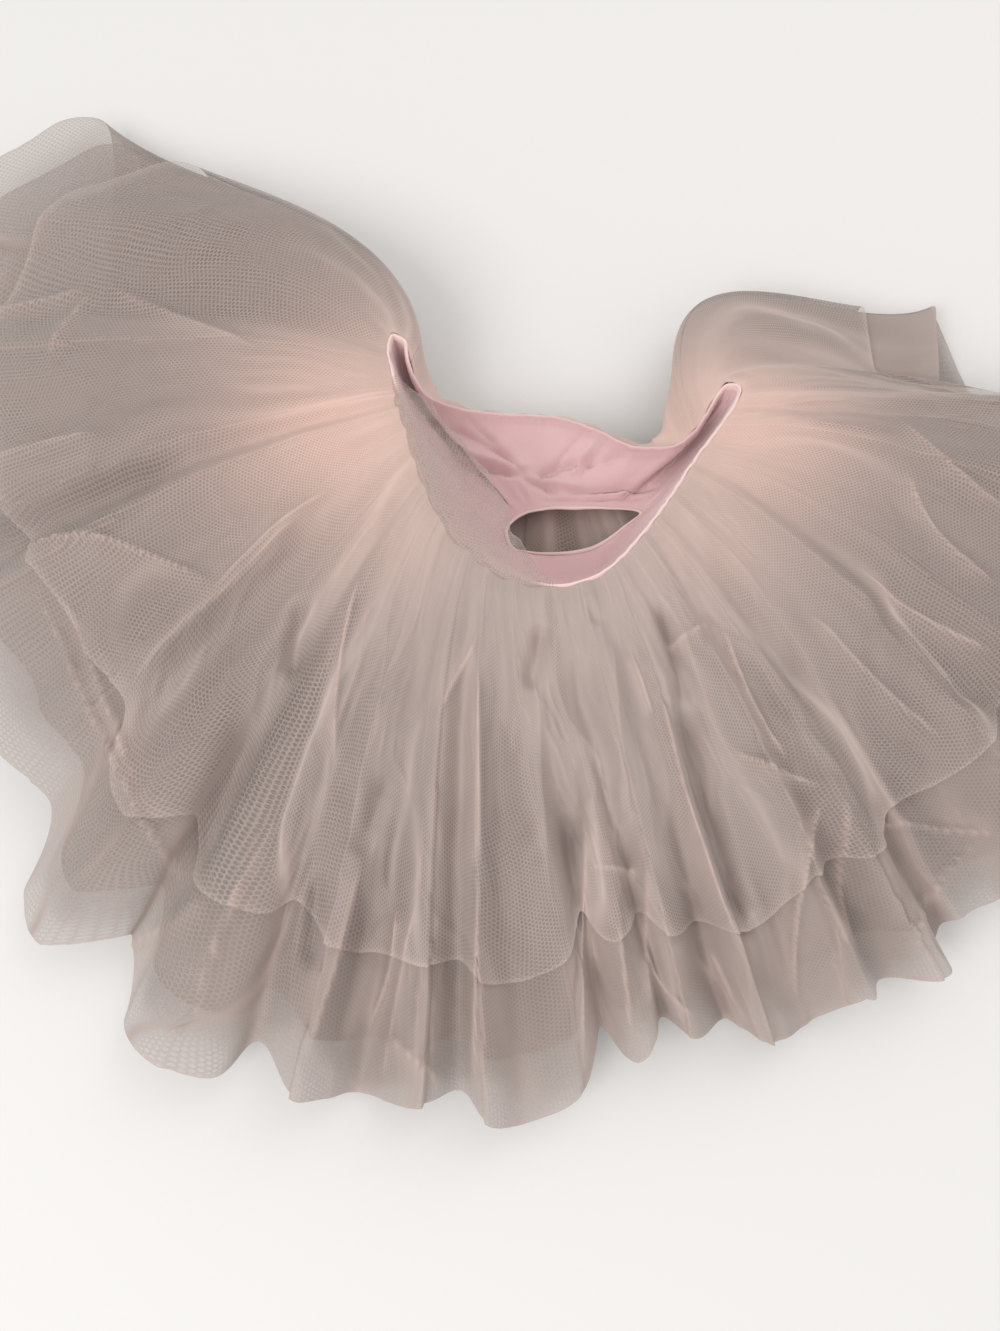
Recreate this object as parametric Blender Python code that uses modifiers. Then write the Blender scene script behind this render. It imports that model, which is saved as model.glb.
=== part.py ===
"""A child's ballet tutu, lying on its back on a flat surface with its skirt fanned out.

Three gathered layers of net hang from one narrow elastic waist. Each layer is a front
and a back panel that meet at two side seams, and its front arches over its back.
Inside the waist a short jersey lining narrows to a lens-shaped lower opening. Units are metres and +Z is up; the floor is
z = 0, the hem of the front lies towards -Y and the waist opening towards +Y. The
origin is under the middle of the whole outline.

The waist loop and the fanned hem are two closed lines. Both are read by one number,
the share: how far round the gathered cloth a point is, from 0 at the left end of the
waist, along the front, round the right end and back behind. Every column of net is
one curve from the waist line to the hem line at the same share.
"""

import math
from collections import namedtuple

import bpy
from mathutils import Vector

# ---- cloth -----------------------------------------------------------------
WALL = 0.0010            # thickness of a net layer
JERSEY_WALL = 0.0012     # thickness of the lining
SEAM_GAP = 0.0003        # clear space between two pieces at a seam

# ---- waist binding -----------------------------------------------------------
BAND_THICK = 0.0026      # elastic in its jersey cover, across
BAND_TALL = 0.0080       # and from edge to edge
BAND_SIDES = 6           # points of its rounded section
BAND_WELD = 0.00001      # closes the section where its first and last rings meet
END_SPAN = 0.045         # shares either side of a waist end with a section at every column
TANGENT_SPAN = 0.004     # shares either side of a point over which its direction is taken

# ---- skirt -------------------------------------------------------------------
FLUTES = 35              # ruffle waves round each layer
STEPS_PER_FLUTE = 4      # columns in one wave
WIDTH_SWINGS = ((0.30, 2.1, 0.0), (0.18, 5.3, 1.0))   # uneven widths: size, pace, start
HEIGHT_SWING = (0.86, 0.26, 3.7, 0.6)   # uneven heights: middle, size, pace, start
LEFT_SEAM = 0.970        # shares of the two side seams
RIGHT_SEAM = 0.650
SEAM_EDGE = (0.0005, 0.0020)   # shares from a side seam to a panel's edge and its next column
SEAM_CLEAR = 0.0045      # shares from a side seam to the first column of a wave
ROWS = (0.0, 0.055, 0.13, 0.25, 0.44, 0.66, 0.85)   # rows of a layer, as far as it reaches
LAYER_STEP_WAIST = 0.0016   # rise from one layer to the next, at the seam
FLOOR_STEP = 0.0024         # the same, where the back lies on the floor
SEAM_RUFFLE = 0.0006        # height of the gathers at the seam
OFF_BAND = BAND_THICK / 2 + SEAM_GAP + SEAM_RUFFLE   # from the binding's middle to the net
STEP_GROWTH = 1.6           # how soon below the waist the layers stand their hem's step apart
RUFFLE_GROWTH = 1.25        # how fast a wave grows from waist to hem

# ---- colours (linear) ---------------------------------------------------------
NET_PINK = (0.66, 0.42, 0.36)
JERSEY_PINK = (0.72, 0.45, 0.48)
BINDING_PINK = (0.80, 0.55, 0.55)

# drop: how far the lining hangs straight down inside before it turns inward.
WaistStop = namedtuple("WaistStop", "share x y z drop")
WAIST = (
    WaistStop(0.000, -0.0865, 0.1050, 0.058, 0.030),   # left end
    WaistStop(0.018, -0.0895, 0.0960, 0.059, 0.030),
    WaistStop(0.050, -0.0870, 0.0760, 0.062, 0.026),
    WaistStop(0.105, -0.0780, 0.0460, 0.066, 0.024),
    WaistStop(0.160, -0.0680, 0.0160, 0.070, 0.026),
    WaistStop(0.208, -0.0550, -0.0110, 0.074, 0.028),
    WaistStop(0.248, -0.0390, -0.0300, 0.077, 0.030),
    WaistStop(0.285, -0.0210, -0.0410, 0.078, 0.030),
    WaistStop(0.320, -0.0020, -0.0450, 0.078, 0.030),  # lowest dip of the front edge
    WaistStop(0.355, 0.0170, -0.0410, 0.078, 0.030),
    WaistStop(0.400, 0.0370, -0.0260, 0.076, 0.028),
    WaistStop(0.450, 0.0560, -0.0020, 0.072, 0.026),
    WaistStop(0.500, 0.0720, 0.0250, 0.068, 0.024),
    WaistStop(0.542, 0.0880, 0.0530, 0.062, 0.022),
    WaistStop(0.572, 0.0953, 0.0723, 0.059, 0.026),
    WaistStop(0.582, 0.0957, 0.0774, 0.058, 0.028),
    WaistStop(0.592, 0.0928, 0.0816, 0.058, 0.030),    # right end
    WaistStop(0.602, 0.0878, 0.0830, 0.057, 0.028),
    WaistStop(0.612, 0.0832, 0.0808, 0.055, 0.024),
    WaistStop(0.632, 0.0760, 0.0735, 0.052, 0.016),
    WaistStop(0.656, 0.0675, 0.0645, 0.048, 0.010),
    WaistStop(0.690, 0.0550, 0.0545, 0.043, 0.006),
    WaistStop(0.725, 0.0380, 0.0545, 0.041, 0.005),
    WaistStop(0.765, 0.0190, 0.0620, 0.040, 0.005),
    WaistStop(0.815, -0.0030, 0.0680, 0.040, 0.005),   # middle of the back edge
    WaistStop(0.865, -0.0260, 0.0690, 0.040, 0.005),
    WaistStop(0.905, -0.0460, 0.0720, 0.042, 0.006),
    WaistStop(0.940, -0.0640, 0.0800, 0.047, 0.006),
    WaistStop(0.972, -0.0765, 0.0960, 0.054, 0.016),
    WaistStop(0.986, -0.0795, 0.1035, 0.057, 0.028),
)

# lead: where a column heads as it leaves the waist; rise: its height there, above
# the waist; crown: the height of the cloth as it nears the hem; ruffle: half the
# height of the waves at the hem; step: from one layer to the next at the hem.
HemStop = namedtuple("HemStop", "share x y z lead_x lead_y rise crown ruffle step")
HEM = (
    HemStop(0.970, -0.274, 0.283, 0.0130, 0.005, 0.090, -0.002, 0.020, 0.000, 0.0034),  # left fold
    HemStop(0.980, -0.294, 0.274, 0.0210, -0.004, 0.092, 0.004, 0.030, 0.001, 0.0038),
    HemStop(0.989, -0.315, 0.254, 0.0220, -0.018, 0.088, 0.006, 0.034, 0.003, 0.0042),
    HemStop(0.998, -0.336, 0.228, 0.0220, -0.040, 0.080, 0.010, 0.036, 0.005, 0.0046),
    HemStop(0.012, -0.360, 0.190, 0.0220, -0.072, 0.054, 0.012, 0.042, 0.009, 0.0048),
    HemStop(0.026, -0.374, 0.125, 0.0170, -0.092, 0.022, 0.014, 0.046, 0.010, 0.0048),
    HemStop(0.046, -0.372, 0.060, 0.0170, -0.096, 0.000, 0.014, 0.048, 0.010, 0.0048),
    HemStop(0.066, -0.352, 0.000, 0.0170, -0.090, -0.022, 0.014, 0.050, 0.010, 0.0048),
    HemStop(0.086, -0.318, -0.055, 0.0170, -0.082, -0.036, 0.012, 0.050, 0.010, 0.0048),
    HemStop(0.102, -0.284, -0.104, 0.0170, -0.072, -0.048, 0.010, 0.050, 0.010, 0.0048),
    HemStop(0.114, -0.246, -0.137, 0.0160, -0.062, -0.056, 0.010, 0.050, 0.009, 0.0048),
    HemStop(0.126, -0.263, -0.180, 0.0145, -0.056, -0.064, 0.010, 0.048, 0.009, 0.0048),
    HemStop(0.136, -0.248, -0.202, 0.0140, -0.052, -0.068, 0.008, 0.046, 0.009, 0.0048),
    HemStop(0.148, -0.205, -0.198, 0.0145, -0.046, -0.070, 0.008, 0.046, 0.009, 0.0048),
    HemStop(0.158, -0.210, -0.236, 0.0145, -0.042, -0.074, 0.008, 0.046, 0.010, 0.0048),
    HemStop(0.174, -0.162, -0.261, 0.0145, -0.036, -0.078, 0.008, 0.046, 0.011, 0.0048),
    HemStop(0.188, -0.143, -0.248, 0.0145, -0.032, -0.080, 0.008, 0.046, 0.011, 0.0048),
    HemStop(0.204, -0.117, -0.268, 0.0145, -0.026, -0.082, 0.008, 0.046, 0.011, 0.0048),
    HemStop(0.226, -0.088, -0.275, 0.0145, -0.020, -0.084, 0.008, 0.046, 0.012, 0.0048),
    HemStop(0.248, -0.050, -0.272, 0.0145, -0.012, -0.085, 0.008, 0.046, 0.012, 0.0048),
    HemStop(0.268, -0.020, -0.284, 0.0135, -0.006, -0.086, 0.008, 0.044, 0.008, 0.0048),
    HemStop(0.282, 0.006, -0.266, 0.0135, 0.000, -0.084, 0.008, 0.044, 0.006, 0.0048),
    HemStop(0.294, 0.016, -0.240, 0.0145, 0.004, -0.080, 0.008, 0.044, 0.006, 0.0048),
    HemStop(0.308, 0.031, -0.253, 0.0135, 0.008, -0.080, 0.008, 0.044, 0.007, 0.0048),
    HemStop(0.320, 0.041, -0.236, 0.0145, 0.010, -0.078, 0.008, 0.044, 0.008, 0.0048),
    HemStop(0.348, 0.072, -0.242, 0.0145, 0.016, -0.078, 0.008, 0.044, 0.011, 0.0048),
    HemStop(0.380, 0.106, -0.243, 0.0145, 0.022, -0.076, 0.008, 0.044, 0.011, 0.0048),
    HemStop(0.415, 0.147, -0.222, 0.0145, 0.034, -0.072, 0.008, 0.044, 0.010, 0.0048),
    HemStop(0.436, 0.179, -0.212, 0.0135, 0.044, -0.066, 0.008, 0.044, 0.009, 0.0048),
    HemStop(0.448, 0.178, -0.193, 0.0145, 0.050, -0.060, 0.008, 0.044, 0.009, 0.0048),
    HemStop(0.470, 0.218, -0.180, 0.0145, 0.058, -0.054, 0.010, 0.046, 0.010, 0.0048),
    HemStop(0.498, 0.276, -0.132, 0.0160, 0.074, -0.040, 0.012, 0.048, 0.010, 0.0048),
    HemStop(0.520, 0.322, -0.078, 0.0160, 0.086, -0.024, 0.014, 0.048, 0.010, 0.0048),
    HemStop(0.542, 0.354, -0.018, 0.0160, 0.094, -0.008, 0.014, 0.046, 0.010, 0.0048),
    HemStop(0.560, 0.372, 0.036, 0.0145, 0.094, 0.004, 0.000, 0.034, 0.007, 0.0044),
    HemStop(0.577, 0.360, 0.070, 0.0160, 0.090, 0.004, -0.010, 0.028, 0.004, 0.0040),
    HemStop(0.590, 0.320, 0.078, 0.0160, 0.072, 0.014, -0.016, 0.024, 0.003, 0.0036),
    HemStop(0.604, 0.268, 0.086, 0.0160, 0.044, 0.034, -0.020, 0.022, 0.002, 0.0034),
    HemStop(0.620, 0.214, 0.102, 0.0160, 0.012, 0.084, -0.022, 0.020, 0.001, 0.0032),
    HemStop(0.634, 0.216, 0.126, 0.0150, -0.006, 0.122, -0.022, 0.020, 0.001, 0.0032),
    HemStop(0.653, 0.221, 0.153, 0.0110, -0.020, 0.158, -0.024, 0.016, 0.000, 0.0032),   # right fold
    HemStop(0.674, 0.236, 0.108, 0.0060, -0.014, 0.104, -0.034, 0.006, 0.001, 0.0030),
    HemStop(0.694, 0.258, 0.044, 0.0070, -0.006, 0.052, -0.038, 0.007, 0.004, 0.0028),
    HemStop(0.716, 0.255, -0.028, 0.0070, 0.010, 0.016, -0.042, 0.007, 0.005, 0.0030),
    HemStop(0.738, 0.226, -0.092, 0.0070, 0.008, 0.014, -0.042, 0.007, 0.005, 0.0030),
    HemStop(0.762, 0.166, -0.142, 0.0070, 0.006, 0.014, -0.042, 0.007, 0.005, 0.0030),
    HemStop(0.788, 0.092, -0.174, 0.0070, 0.003, 0.014, -0.042, 0.007, 0.005, 0.0030),
    HemStop(0.816, 0.002, -0.184, 0.0070, 0.000, 0.014, -0.042, 0.007, 0.005, 0.0030),
    HemStop(0.842, -0.088, -0.171, 0.0070, -0.003, 0.014, -0.042, 0.007, 0.005, 0.0030),
    HemStop(0.866, -0.164, -0.130, 0.0070, -0.006, 0.014, -0.042, 0.007, 0.005, 0.0030),
    HemStop(0.888, -0.220, -0.066, 0.0070, -0.008, 0.014, -0.042, 0.007, 0.005, 0.0030),
    HemStop(0.908, -0.250, 0.010, 0.0070, -0.010, 0.018, -0.042, 0.007, 0.005, 0.0030),
    HemStop(0.926, -0.262, 0.092, 0.0070, -0.010, 0.026, -0.040, 0.007, 0.004, 0.0030),
    HemStop(0.944, -0.262, 0.180, 0.0060, 0.004, 0.050, -0.036, 0.006, 0.001, 0.0030),
    HemStop(0.960, -0.265, 0.254, 0.0070, 0.006, 0.076, -0.022, 0.010, 0.000, 0.0032),
)
HEM_PULL = 0.36          # how much of the way back from the hem the crown stands
NORMAL_SPAN = (0.010, 0.05)   # shares and lengths over which a facing is taken

# One row a layer: how many layers lie inside it, how far down the longest hem it
# reaches, how much of the shared wave it follows, and its own small waves.
Layer = namedtuple("Layer", "name outward reach wave own_height own_count")
LAYERS = (
    Layer("tulle_inner", 0, 0.900, 0.94, 0.0006, 17),
    Layer("tulle_middle", 1, 1.000, 1.00, 0.0006, 23),
    Layer("tulle_outer", 2, 0.750, 1.05, 0.0006, 19),
)

# ---- lining: its lower edge, a lens, and how the panel between bends ------------
LINING_ROWS = (0.0, 0.18, 0.38, 0.58, 0.78, 1.0)
LENS_CENTRE = Vector((0.012, 0.012, 0.0185))
LENS_HALF_WIDE = 0.038
LENS_HALF_DEEP = 0.0140
RIGHT_END = 0.592        # share of the waist's right end
LENS_END_LEFT = 0.82     # half turns round the lens that the waist's ends lead to
LENS_END_RIGHT = 0.18
LENS_PULL = 0.30         # how level the lining comes in to the lens
WRINKLE = 0.0009         # height of its soft wrinkles
WRINKLES_ROUND = 9
WRINKLE_LEAN = 3.0       # turn of a wrinkle from the waist to the lens, in radians


# ---- small helpers ----------------------------------------------------------------
def clear_scene():
    """Start from nothing."""
    for thing in list(bpy.data.objects):
        bpy.data.objects.remove(thing, do_unlink=True)


def fabric(name, colour, roughness):
    """A plain cloth finish."""
    material = bpy.data.materials.new(name)
    material.use_nodes = True
    shader = material.node_tree.nodes["Principled BSDF"]
    shader.inputs["Base Color"].default_value = (*colour, 1.0)
    shader.inputs["Roughness"].default_value = roughness
    shader.inputs["Metallic"].default_value = 0.0
    return material


class ClosedLine:
    """Reads the columns of a closed table at any share, smoothly and without overshoot."""

    def __init__(self, stops):
        self.stops = sorted(stops, key=lambda stop: stop.share)
        self.fields = self.stops[0]._fields[1:]
        self.slopes = {field: self._slopes(field) for field in self.fields}

    def _step(self, index):
        """Share and row from one stop to the next, round the end of the table."""
        here = self.stops[index % len(self.stops)]
        after = self.stops[(index + 1) % len(self.stops)]
        width = (after.share - here.share) % 1.0
        return here, after, width

    def _slopes(self, field):
        """A slope at each stop: none at a peak, else the gentle mean of both sides."""
        slopes = []
        for index in range(len(self.stops)):
            before, here, width_in = self._step(index - 1)
            here, after, width_out = self._step(index)
            grade_in = (getattr(here, field) - getattr(before, field)) / width_in
            grade_out = (getattr(after, field) - getattr(here, field)) / width_out
            if grade_in * grade_out <= 0.0:
                slopes.append(0.0)
            else:
                slopes.append(2.0 * grade_in * grade_out / (grade_in + grade_out))
        return slopes

    def read(self, share):
        """The table's row at a share, as a dictionary."""
        share = share % 1.0
        index = sum(1 for stop in self.stops if stop.share <= share) - 1
        here, after, width = self._step(index)
        t = ((share - here.share) % 1.0) / width
        row = {}
        for field in self.fields:
            slope_in = self.slopes[field][index % len(self.stops)]
            slope_out = self.slopes[field][(index + 1) % len(self.stops)]
            row[field] = (
                (2 * t**3 - 3 * t**2 + 1) * getattr(here, field)
                + (t**3 - 2 * t**2 + t) * width * slope_in
                + (3 * t**2 - 2 * t**3) * getattr(after, field)
                + (t**3 - t**2) * width * slope_out
            )
        return row


WAIST_LINE = ClosedLine(WAIST)
HEM_LINE = ClosedLine(HEM)


def waist_point(share):
    """A point on the middle of the waist binding."""
    row = WAIST_LINE.read(share)
    return Vector((row["x"], row["y"], row["z"]))


def waist_outward(share):
    """The level direction away from the wearer at a share of the waist."""
    along = waist_point(share + TANGENT_SPAN) - waist_point(share - TANGENT_SPAN)
    return Vector((along.y, -along.x, 0.0)).normalized()


def smooth(t):
    """An easy step from 0 to 1."""
    t = min(1.0, max(0.0, t))
    return t * t * (3.0 - 2.0 * t)


# ---- the ruffle waves ----------------------------------------------------------------
def flute_edges():
    """Shares at which the waves begin: uneven, the same for every layer."""
    widths = [
        1.0 + sum(size * math.sin(pace * i + start) for size, pace, start in WIDTH_SWINGS)
        for i in range(FLUTES)
    ]
    total = sum(widths)
    edges = [0.0]
    for width in widths:
        edges.append(edges[-1] + width / total)
    return edges


FLUTE_EDGES = flute_edges()


def columns():
    """The share of each column and how high it stands on its wave, about -1 to 1."""
    middle, size, pace, begin = HEIGHT_SWING
    found = []
    for flute in range(FLUTES):
        start = FLUTE_EDGES[flute]
        width = FLUTE_EDGES[flute + 1] - start
        strength = middle + size * math.sin(pace * flute + begin)
        for step in range(STEPS_PER_FLUTE):
            turn = step / STEPS_PER_FLUTE
            found.append((start + width * turn, strength * math.cos(2 * math.pi * turn)))
    return found


def panel_columns(start, end):
    """The columns of one panel, from one side seam round to the other."""
    span = (end - start) % 1.0
    inside = [
        ((share - start) % 1.0, wave)
        for share, wave in columns()
        if SEAM_CLEAR < (share - start) % 1.0 < span - SEAM_CLEAR
    ]
    first = [(along, 0.0) for along in SEAM_EDGE]
    last = [(span - along, 0.0) for along in reversed(SEAM_EDGE)]
    return [(start + along, wave) for along, wave in [*first, *sorted(inside), *last]]


def waist_shares():
    """Sections of the waist pieces: every column's share at the ends, every other between."""
    found = []
    for index, (share, _) in enumerate(columns()):
        from_ends = min(abs((share - end + 0.5) % 1.0 - 0.5) for end in (0.0, RIGHT_END))
        if index % 2 == 0 or from_ends < END_SPAN:
            found.append(share)
    return found


def core_point(share, down):
    """A point on the smooth form that every layer follows."""
    hem = HEM_LINE.read(share)
    start = waist_point(share) + waist_outward(share) * OFF_BAND
    end = Vector((hem["x"], hem["y"], hem["z"]))
    lead = start + Vector((hem["lead_x"], hem["lead_y"], hem["rise"]))
    back = Vector((start.x - end.x, start.y - end.y, 0.0)) * HEM_PULL
    crown = end + back
    crown.z = hem["crown"]
    rest = 1.0 - down
    return (
        start * rest**3
        + lead * (3 * rest**2 * down)
        + crown * (3 * rest * down**2)
        + end * down**3
    )


def core_facing(share, down):
    """The way the smooth form faces, out of the skirt, taken over a small span."""
    round_span, down_span = NORMAL_SPAN
    low = max(0.0, down - down_span)
    high = min(1.0, down + down_span)
    along_hem = core_point(share + round_span, down) - core_point(share - round_span, down)
    along_fall = core_point(share, high) - core_point(share, low)
    return along_fall.cross(along_hem).normalized()


def net_point(layer, share, wave, down):
    """A point on a layer's outer face: down is 0 at the waist and 1 at the longest hem."""
    facing = core_facing(share, down)
    hem = HEM_LINE.read(share)
    step = LAYER_STEP_WAIST + (hem["step"] - LAYER_STEP_WAIST) * smooth(down * STEP_GROWTH)
    grow = down**RUFFLE_GROWTH
    height = (SEAM_RUFFLE + (hem["ruffle"] - SEAM_RUFFLE) * grow) * layer.wave * wave
    own = layer.own_height * grow * math.sin(2 * math.pi * layer.own_count * share)
    point = core_point(share, down) + facing * (WALL + layer.outward * step + height + own)
    floor = FLOOR_STEP * (LAYERS[-1].outward - layer.outward)
    point.z = max(point.z, floor)
    return point


# ---- meshes ------------------------------------------------------------------------
def loft(name, rings, material, collection, wall=None, closed=True):
    """Joins rows of points into a tube, or an open panel; Solidify gives it its wall."""
    count = len(rings[0])
    points = [tuple(point) for ring in rings for point in ring]
    faces = []
    for row in range(len(rings) - 1):
        for column in range(count if closed else count - 1):
            after = (column + 1) % count
            faces.append((
                row * count + column,
                (row + 1) * count + column,
                (row + 1) * count + after,
                row * count + after,
            ))
    mesh = bpy.data.meshes.new(name)
    mesh.from_pydata(points, [], faces)
    mesh.validate()
    thing = bpy.data.objects.new(name, mesh)
    collection.objects.link(thing)
    mesh.materials.append(material)
    mesh.shade_smooth()
    if wall:
        solid = thing.modifiers.new("wall", "SOLIDIFY")
        solid.thickness = wall
        solid.offset = -1.0
    return thing


def build_panel(layer, side, start, end, collection):
    """One panel of a net layer, from the binding to its hem and from seam to seam."""
    rows = []
    upper_rows = [down for down in ROWS if down < layer.reach]
    for down in [*upper_rows, layer.reach]:
        row = [net_point(layer, share, wave, down) for share, wave in panel_columns(start, end)]
        rows.append(row)
    name = f"{layer.name}_{side}"
    finish = fabric(name, NET_PINK, 0.8)
    return loft(name, rows, finish, collection, WALL, closed=False)


def build_binding(collection):
    """The elastic waist: a rounded band swept round the loop."""
    rings = []
    for side in range(BAND_SIDES):
        angle = -2 * math.pi * (side + 0.5) / BAND_SIDES
        ring = []
        for share in waist_shares():
            out = waist_outward(share) * (BAND_THICK / 2 * math.cos(angle))
            up = Vector((0.0, 0.0, BAND_TALL / 2 * math.sin(angle)))
            ring.append(waist_point(share) + out + up)
        rings.append(ring)
    rings.append(rings[0])
    band = loft("waist_binding", rings, fabric("waist_binding", BINDING_PINK, 0.6), collection)
    weld = band.modifiers.new("close", "WELD")
    weld.merge_threshold = BAND_WELD
    return band


def lens_point(share):
    """The lining's lower edge: the front of the waist leads to the lens's near side."""
    near_side = 2.0 - LENS_END_LEFT + LENS_END_RIGHT
    far_side = 2.0 - near_side
    if share < RIGHT_END:
        turn = LENS_END_LEFT + near_side * share / RIGHT_END
    else:
        turn = LENS_END_RIGHT + far_side * (share - RIGHT_END) / (1.0 - RIGHT_END)
    turn = turn * math.pi
    wide = LENS_HALF_WIDE * math.cos(turn)
    deep = LENS_HALF_DEEP * math.sin(turn)
    return LENS_CENTRE + Vector((wide, deep, 0.0))


def lining_point(share, along):
    """A point on the lining's outer face, from the waist down to the lens."""
    start = waist_point(share) - waist_outward(share) * (BAND_THICK / 2 + SEAM_GAP)
    hang = start - Vector((0.0, 0.0, WAIST_LINE.read(share)["drop"]))
    end = lens_point(share)
    level = Vector((start.x - end.x, start.y - end.y, 0.0)) * LENS_PULL
    rest = 1.0 - along
    point = (
        start * rest**3
        + hang * (3 * rest**2 * along)
        + (end + level) * (3 * rest * along**2)
        + end * along**3
    )
    fold = math.sin(2 * math.pi * WRINKLES_ROUND * share + WRINKLE_LEAN * along)
    point.z += WRINKLE * math.sin(math.pi * along) * fold
    return point


def build_lining(collection):
    """The jersey lining, a short tube that narrows to its lower opening."""
    rings = []
    for along in LINING_ROWS:
        ring = [lining_point(share, along) for share in waist_shares()]
        rings.append(ring)
    finish = fabric("jersey_lining", JERSEY_PINK, 0.75)
    return loft("jersey_lining", rings, finish, collection, JERSEY_WALL)


def main():
    """Builds the binding, the lining and the six net panels."""
    clear_scene()
    collection = bpy.data.collections.new("ballet_tutu")
    bpy.context.scene.collection.children.link(collection)
    build_binding(collection)
    build_lining(collection)
    for layer in LAYERS:
        build_panel(layer, "front", LEFT_SEAM, RIGHT_SEAM, collection)
        build_panel(layer, "back", RIGHT_SEAM, LEFT_SEAM, collection)


main()
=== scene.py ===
# %% [markdown]
# # A child's ballet tutu, laid on its back with its skirt fanned out
#
# The real thing is three strips of soft net, gathered tightly on to a narrow elastic
# waist, with a short jersey lining sewn inside. It lies on its back: the front of each
# strip arches over its back, and the front of the waist has sagged into a deep U, so one
# looks past it at the pink lining and the lining's lower opening.
#
# Net is almost nothing: threads a quarter of a millimetre thick round holes of two
# millimetres. What the eye sees is how much of it is stacked up. So every strip here is
# one fine sheet with real folds, and its finish reads two things from it: where the
# threads run, from the cloth's own flat coordinates, and how much cloth is packed into
# each spot, measured from the mesh.

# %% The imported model, which every piece follows
import math
from collections import namedtuple

import bpy
import numpy as np
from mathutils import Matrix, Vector


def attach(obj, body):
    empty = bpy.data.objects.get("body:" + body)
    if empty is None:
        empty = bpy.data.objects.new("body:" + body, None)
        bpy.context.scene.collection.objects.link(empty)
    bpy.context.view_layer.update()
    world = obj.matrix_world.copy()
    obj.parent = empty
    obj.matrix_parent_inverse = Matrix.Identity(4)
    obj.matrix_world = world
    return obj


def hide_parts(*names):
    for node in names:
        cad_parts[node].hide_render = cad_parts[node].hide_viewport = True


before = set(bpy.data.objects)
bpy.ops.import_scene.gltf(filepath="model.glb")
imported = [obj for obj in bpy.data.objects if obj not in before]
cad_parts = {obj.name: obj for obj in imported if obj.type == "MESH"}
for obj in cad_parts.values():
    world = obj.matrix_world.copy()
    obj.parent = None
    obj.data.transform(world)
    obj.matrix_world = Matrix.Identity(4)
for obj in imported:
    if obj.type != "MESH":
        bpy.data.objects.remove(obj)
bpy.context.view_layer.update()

print("nodes:", sorted(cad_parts))

# %% [markdown]
# ## The waist line and the hem line
#
# Two closed lines carry the whole skirt: where the waist runs, and where the longest
# hem lies. A real pattern cutter would pin both to the table and let the cloth find its
# way between them. One number, the share, says how far round the gathered cloth a
# point is: 0 at the left end of the waist, then along the front, round the right end
# at 0.59 and back behind. Tables with named columns are easier to alter by hand than
# modelled curves, and both the net and the lining can read them. They are in metres,
# like the whole script. The soft cloth pinches the waist closer at its two ends than the
# solids do.

# %% Tables with named columns
def table_of(kind, *rows):
    """The rows of a table, each with its columns' names."""
    return tuple(kind(*row) for row in rows)


# %% The waist line
# drop: how far the lining hangs straight down inside before it turns inward.
WaistStop = namedtuple("WaistStop", "share x y z drop")
WAIST = table_of(
    WaistStop,
    (0.000, -0.0858, 0.1040, 0.058, 0.030),   # left end
    (0.018, -0.0880, 0.0955, 0.059, 0.030),
    (0.050, -0.0842, 0.0760, 0.062, 0.026),
    (0.105, -0.0754, 0.0465, 0.066, 0.024),
    (0.160, -0.0663, 0.0165, 0.070, 0.026),
    (0.208, -0.0545, -0.0110, 0.074, 0.028),
    (0.248, -0.0390, -0.0300, 0.077, 0.030),
    (0.285, -0.0210, -0.0410, 0.078, 0.030),
    (0.320, -0.0020, -0.0450, 0.078, 0.030),   # lowest dip of the front edge
    (0.355, 0.0165, -0.0392, 0.078, 0.030),
    (0.400, 0.0338, -0.0225, 0.076, 0.028),
    (0.450, 0.0510, 0.0014, 0.072, 0.026),
    (0.500, 0.0670, 0.0270, 0.068, 0.024),
    (0.542, 0.0825, 0.0495, 0.063, 0.022),
    (0.572, 0.0917, 0.0655, 0.060, 0.026),
    (0.582, 0.0932, 0.0702, 0.059, 0.028),
    (0.592, 0.0915, 0.0742, 0.058, 0.030),   # right end
    (0.602, 0.0872, 0.0752, 0.056, 0.028),
    (0.612, 0.0835, 0.0722, 0.053, 0.024),
    (0.632, 0.0780, 0.0635, 0.049, 0.018),
    (0.656, 0.0708, 0.0540, 0.045, 0.012),
    (0.690, 0.0585, 0.0468, 0.042, 0.006),
    (0.725, 0.0412, 0.0478, 0.040, 0.005),
    (0.765, 0.0196, 0.0582, 0.040, 0.005),
    (0.815, -0.0030, 0.0658, 0.040, 0.005),   # middle of the back edge
    (0.865, -0.0260, 0.0670, 0.040, 0.005),
    (0.905, -0.0468, 0.0684, 0.042, 0.006),
    (0.940, -0.0680, 0.0738, 0.047, 0.006),
    (0.972, -0.0780, 0.0912, 0.054, 0.016),
    (0.986, -0.0795, 0.1005, 0.057, 0.028),
)

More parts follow.
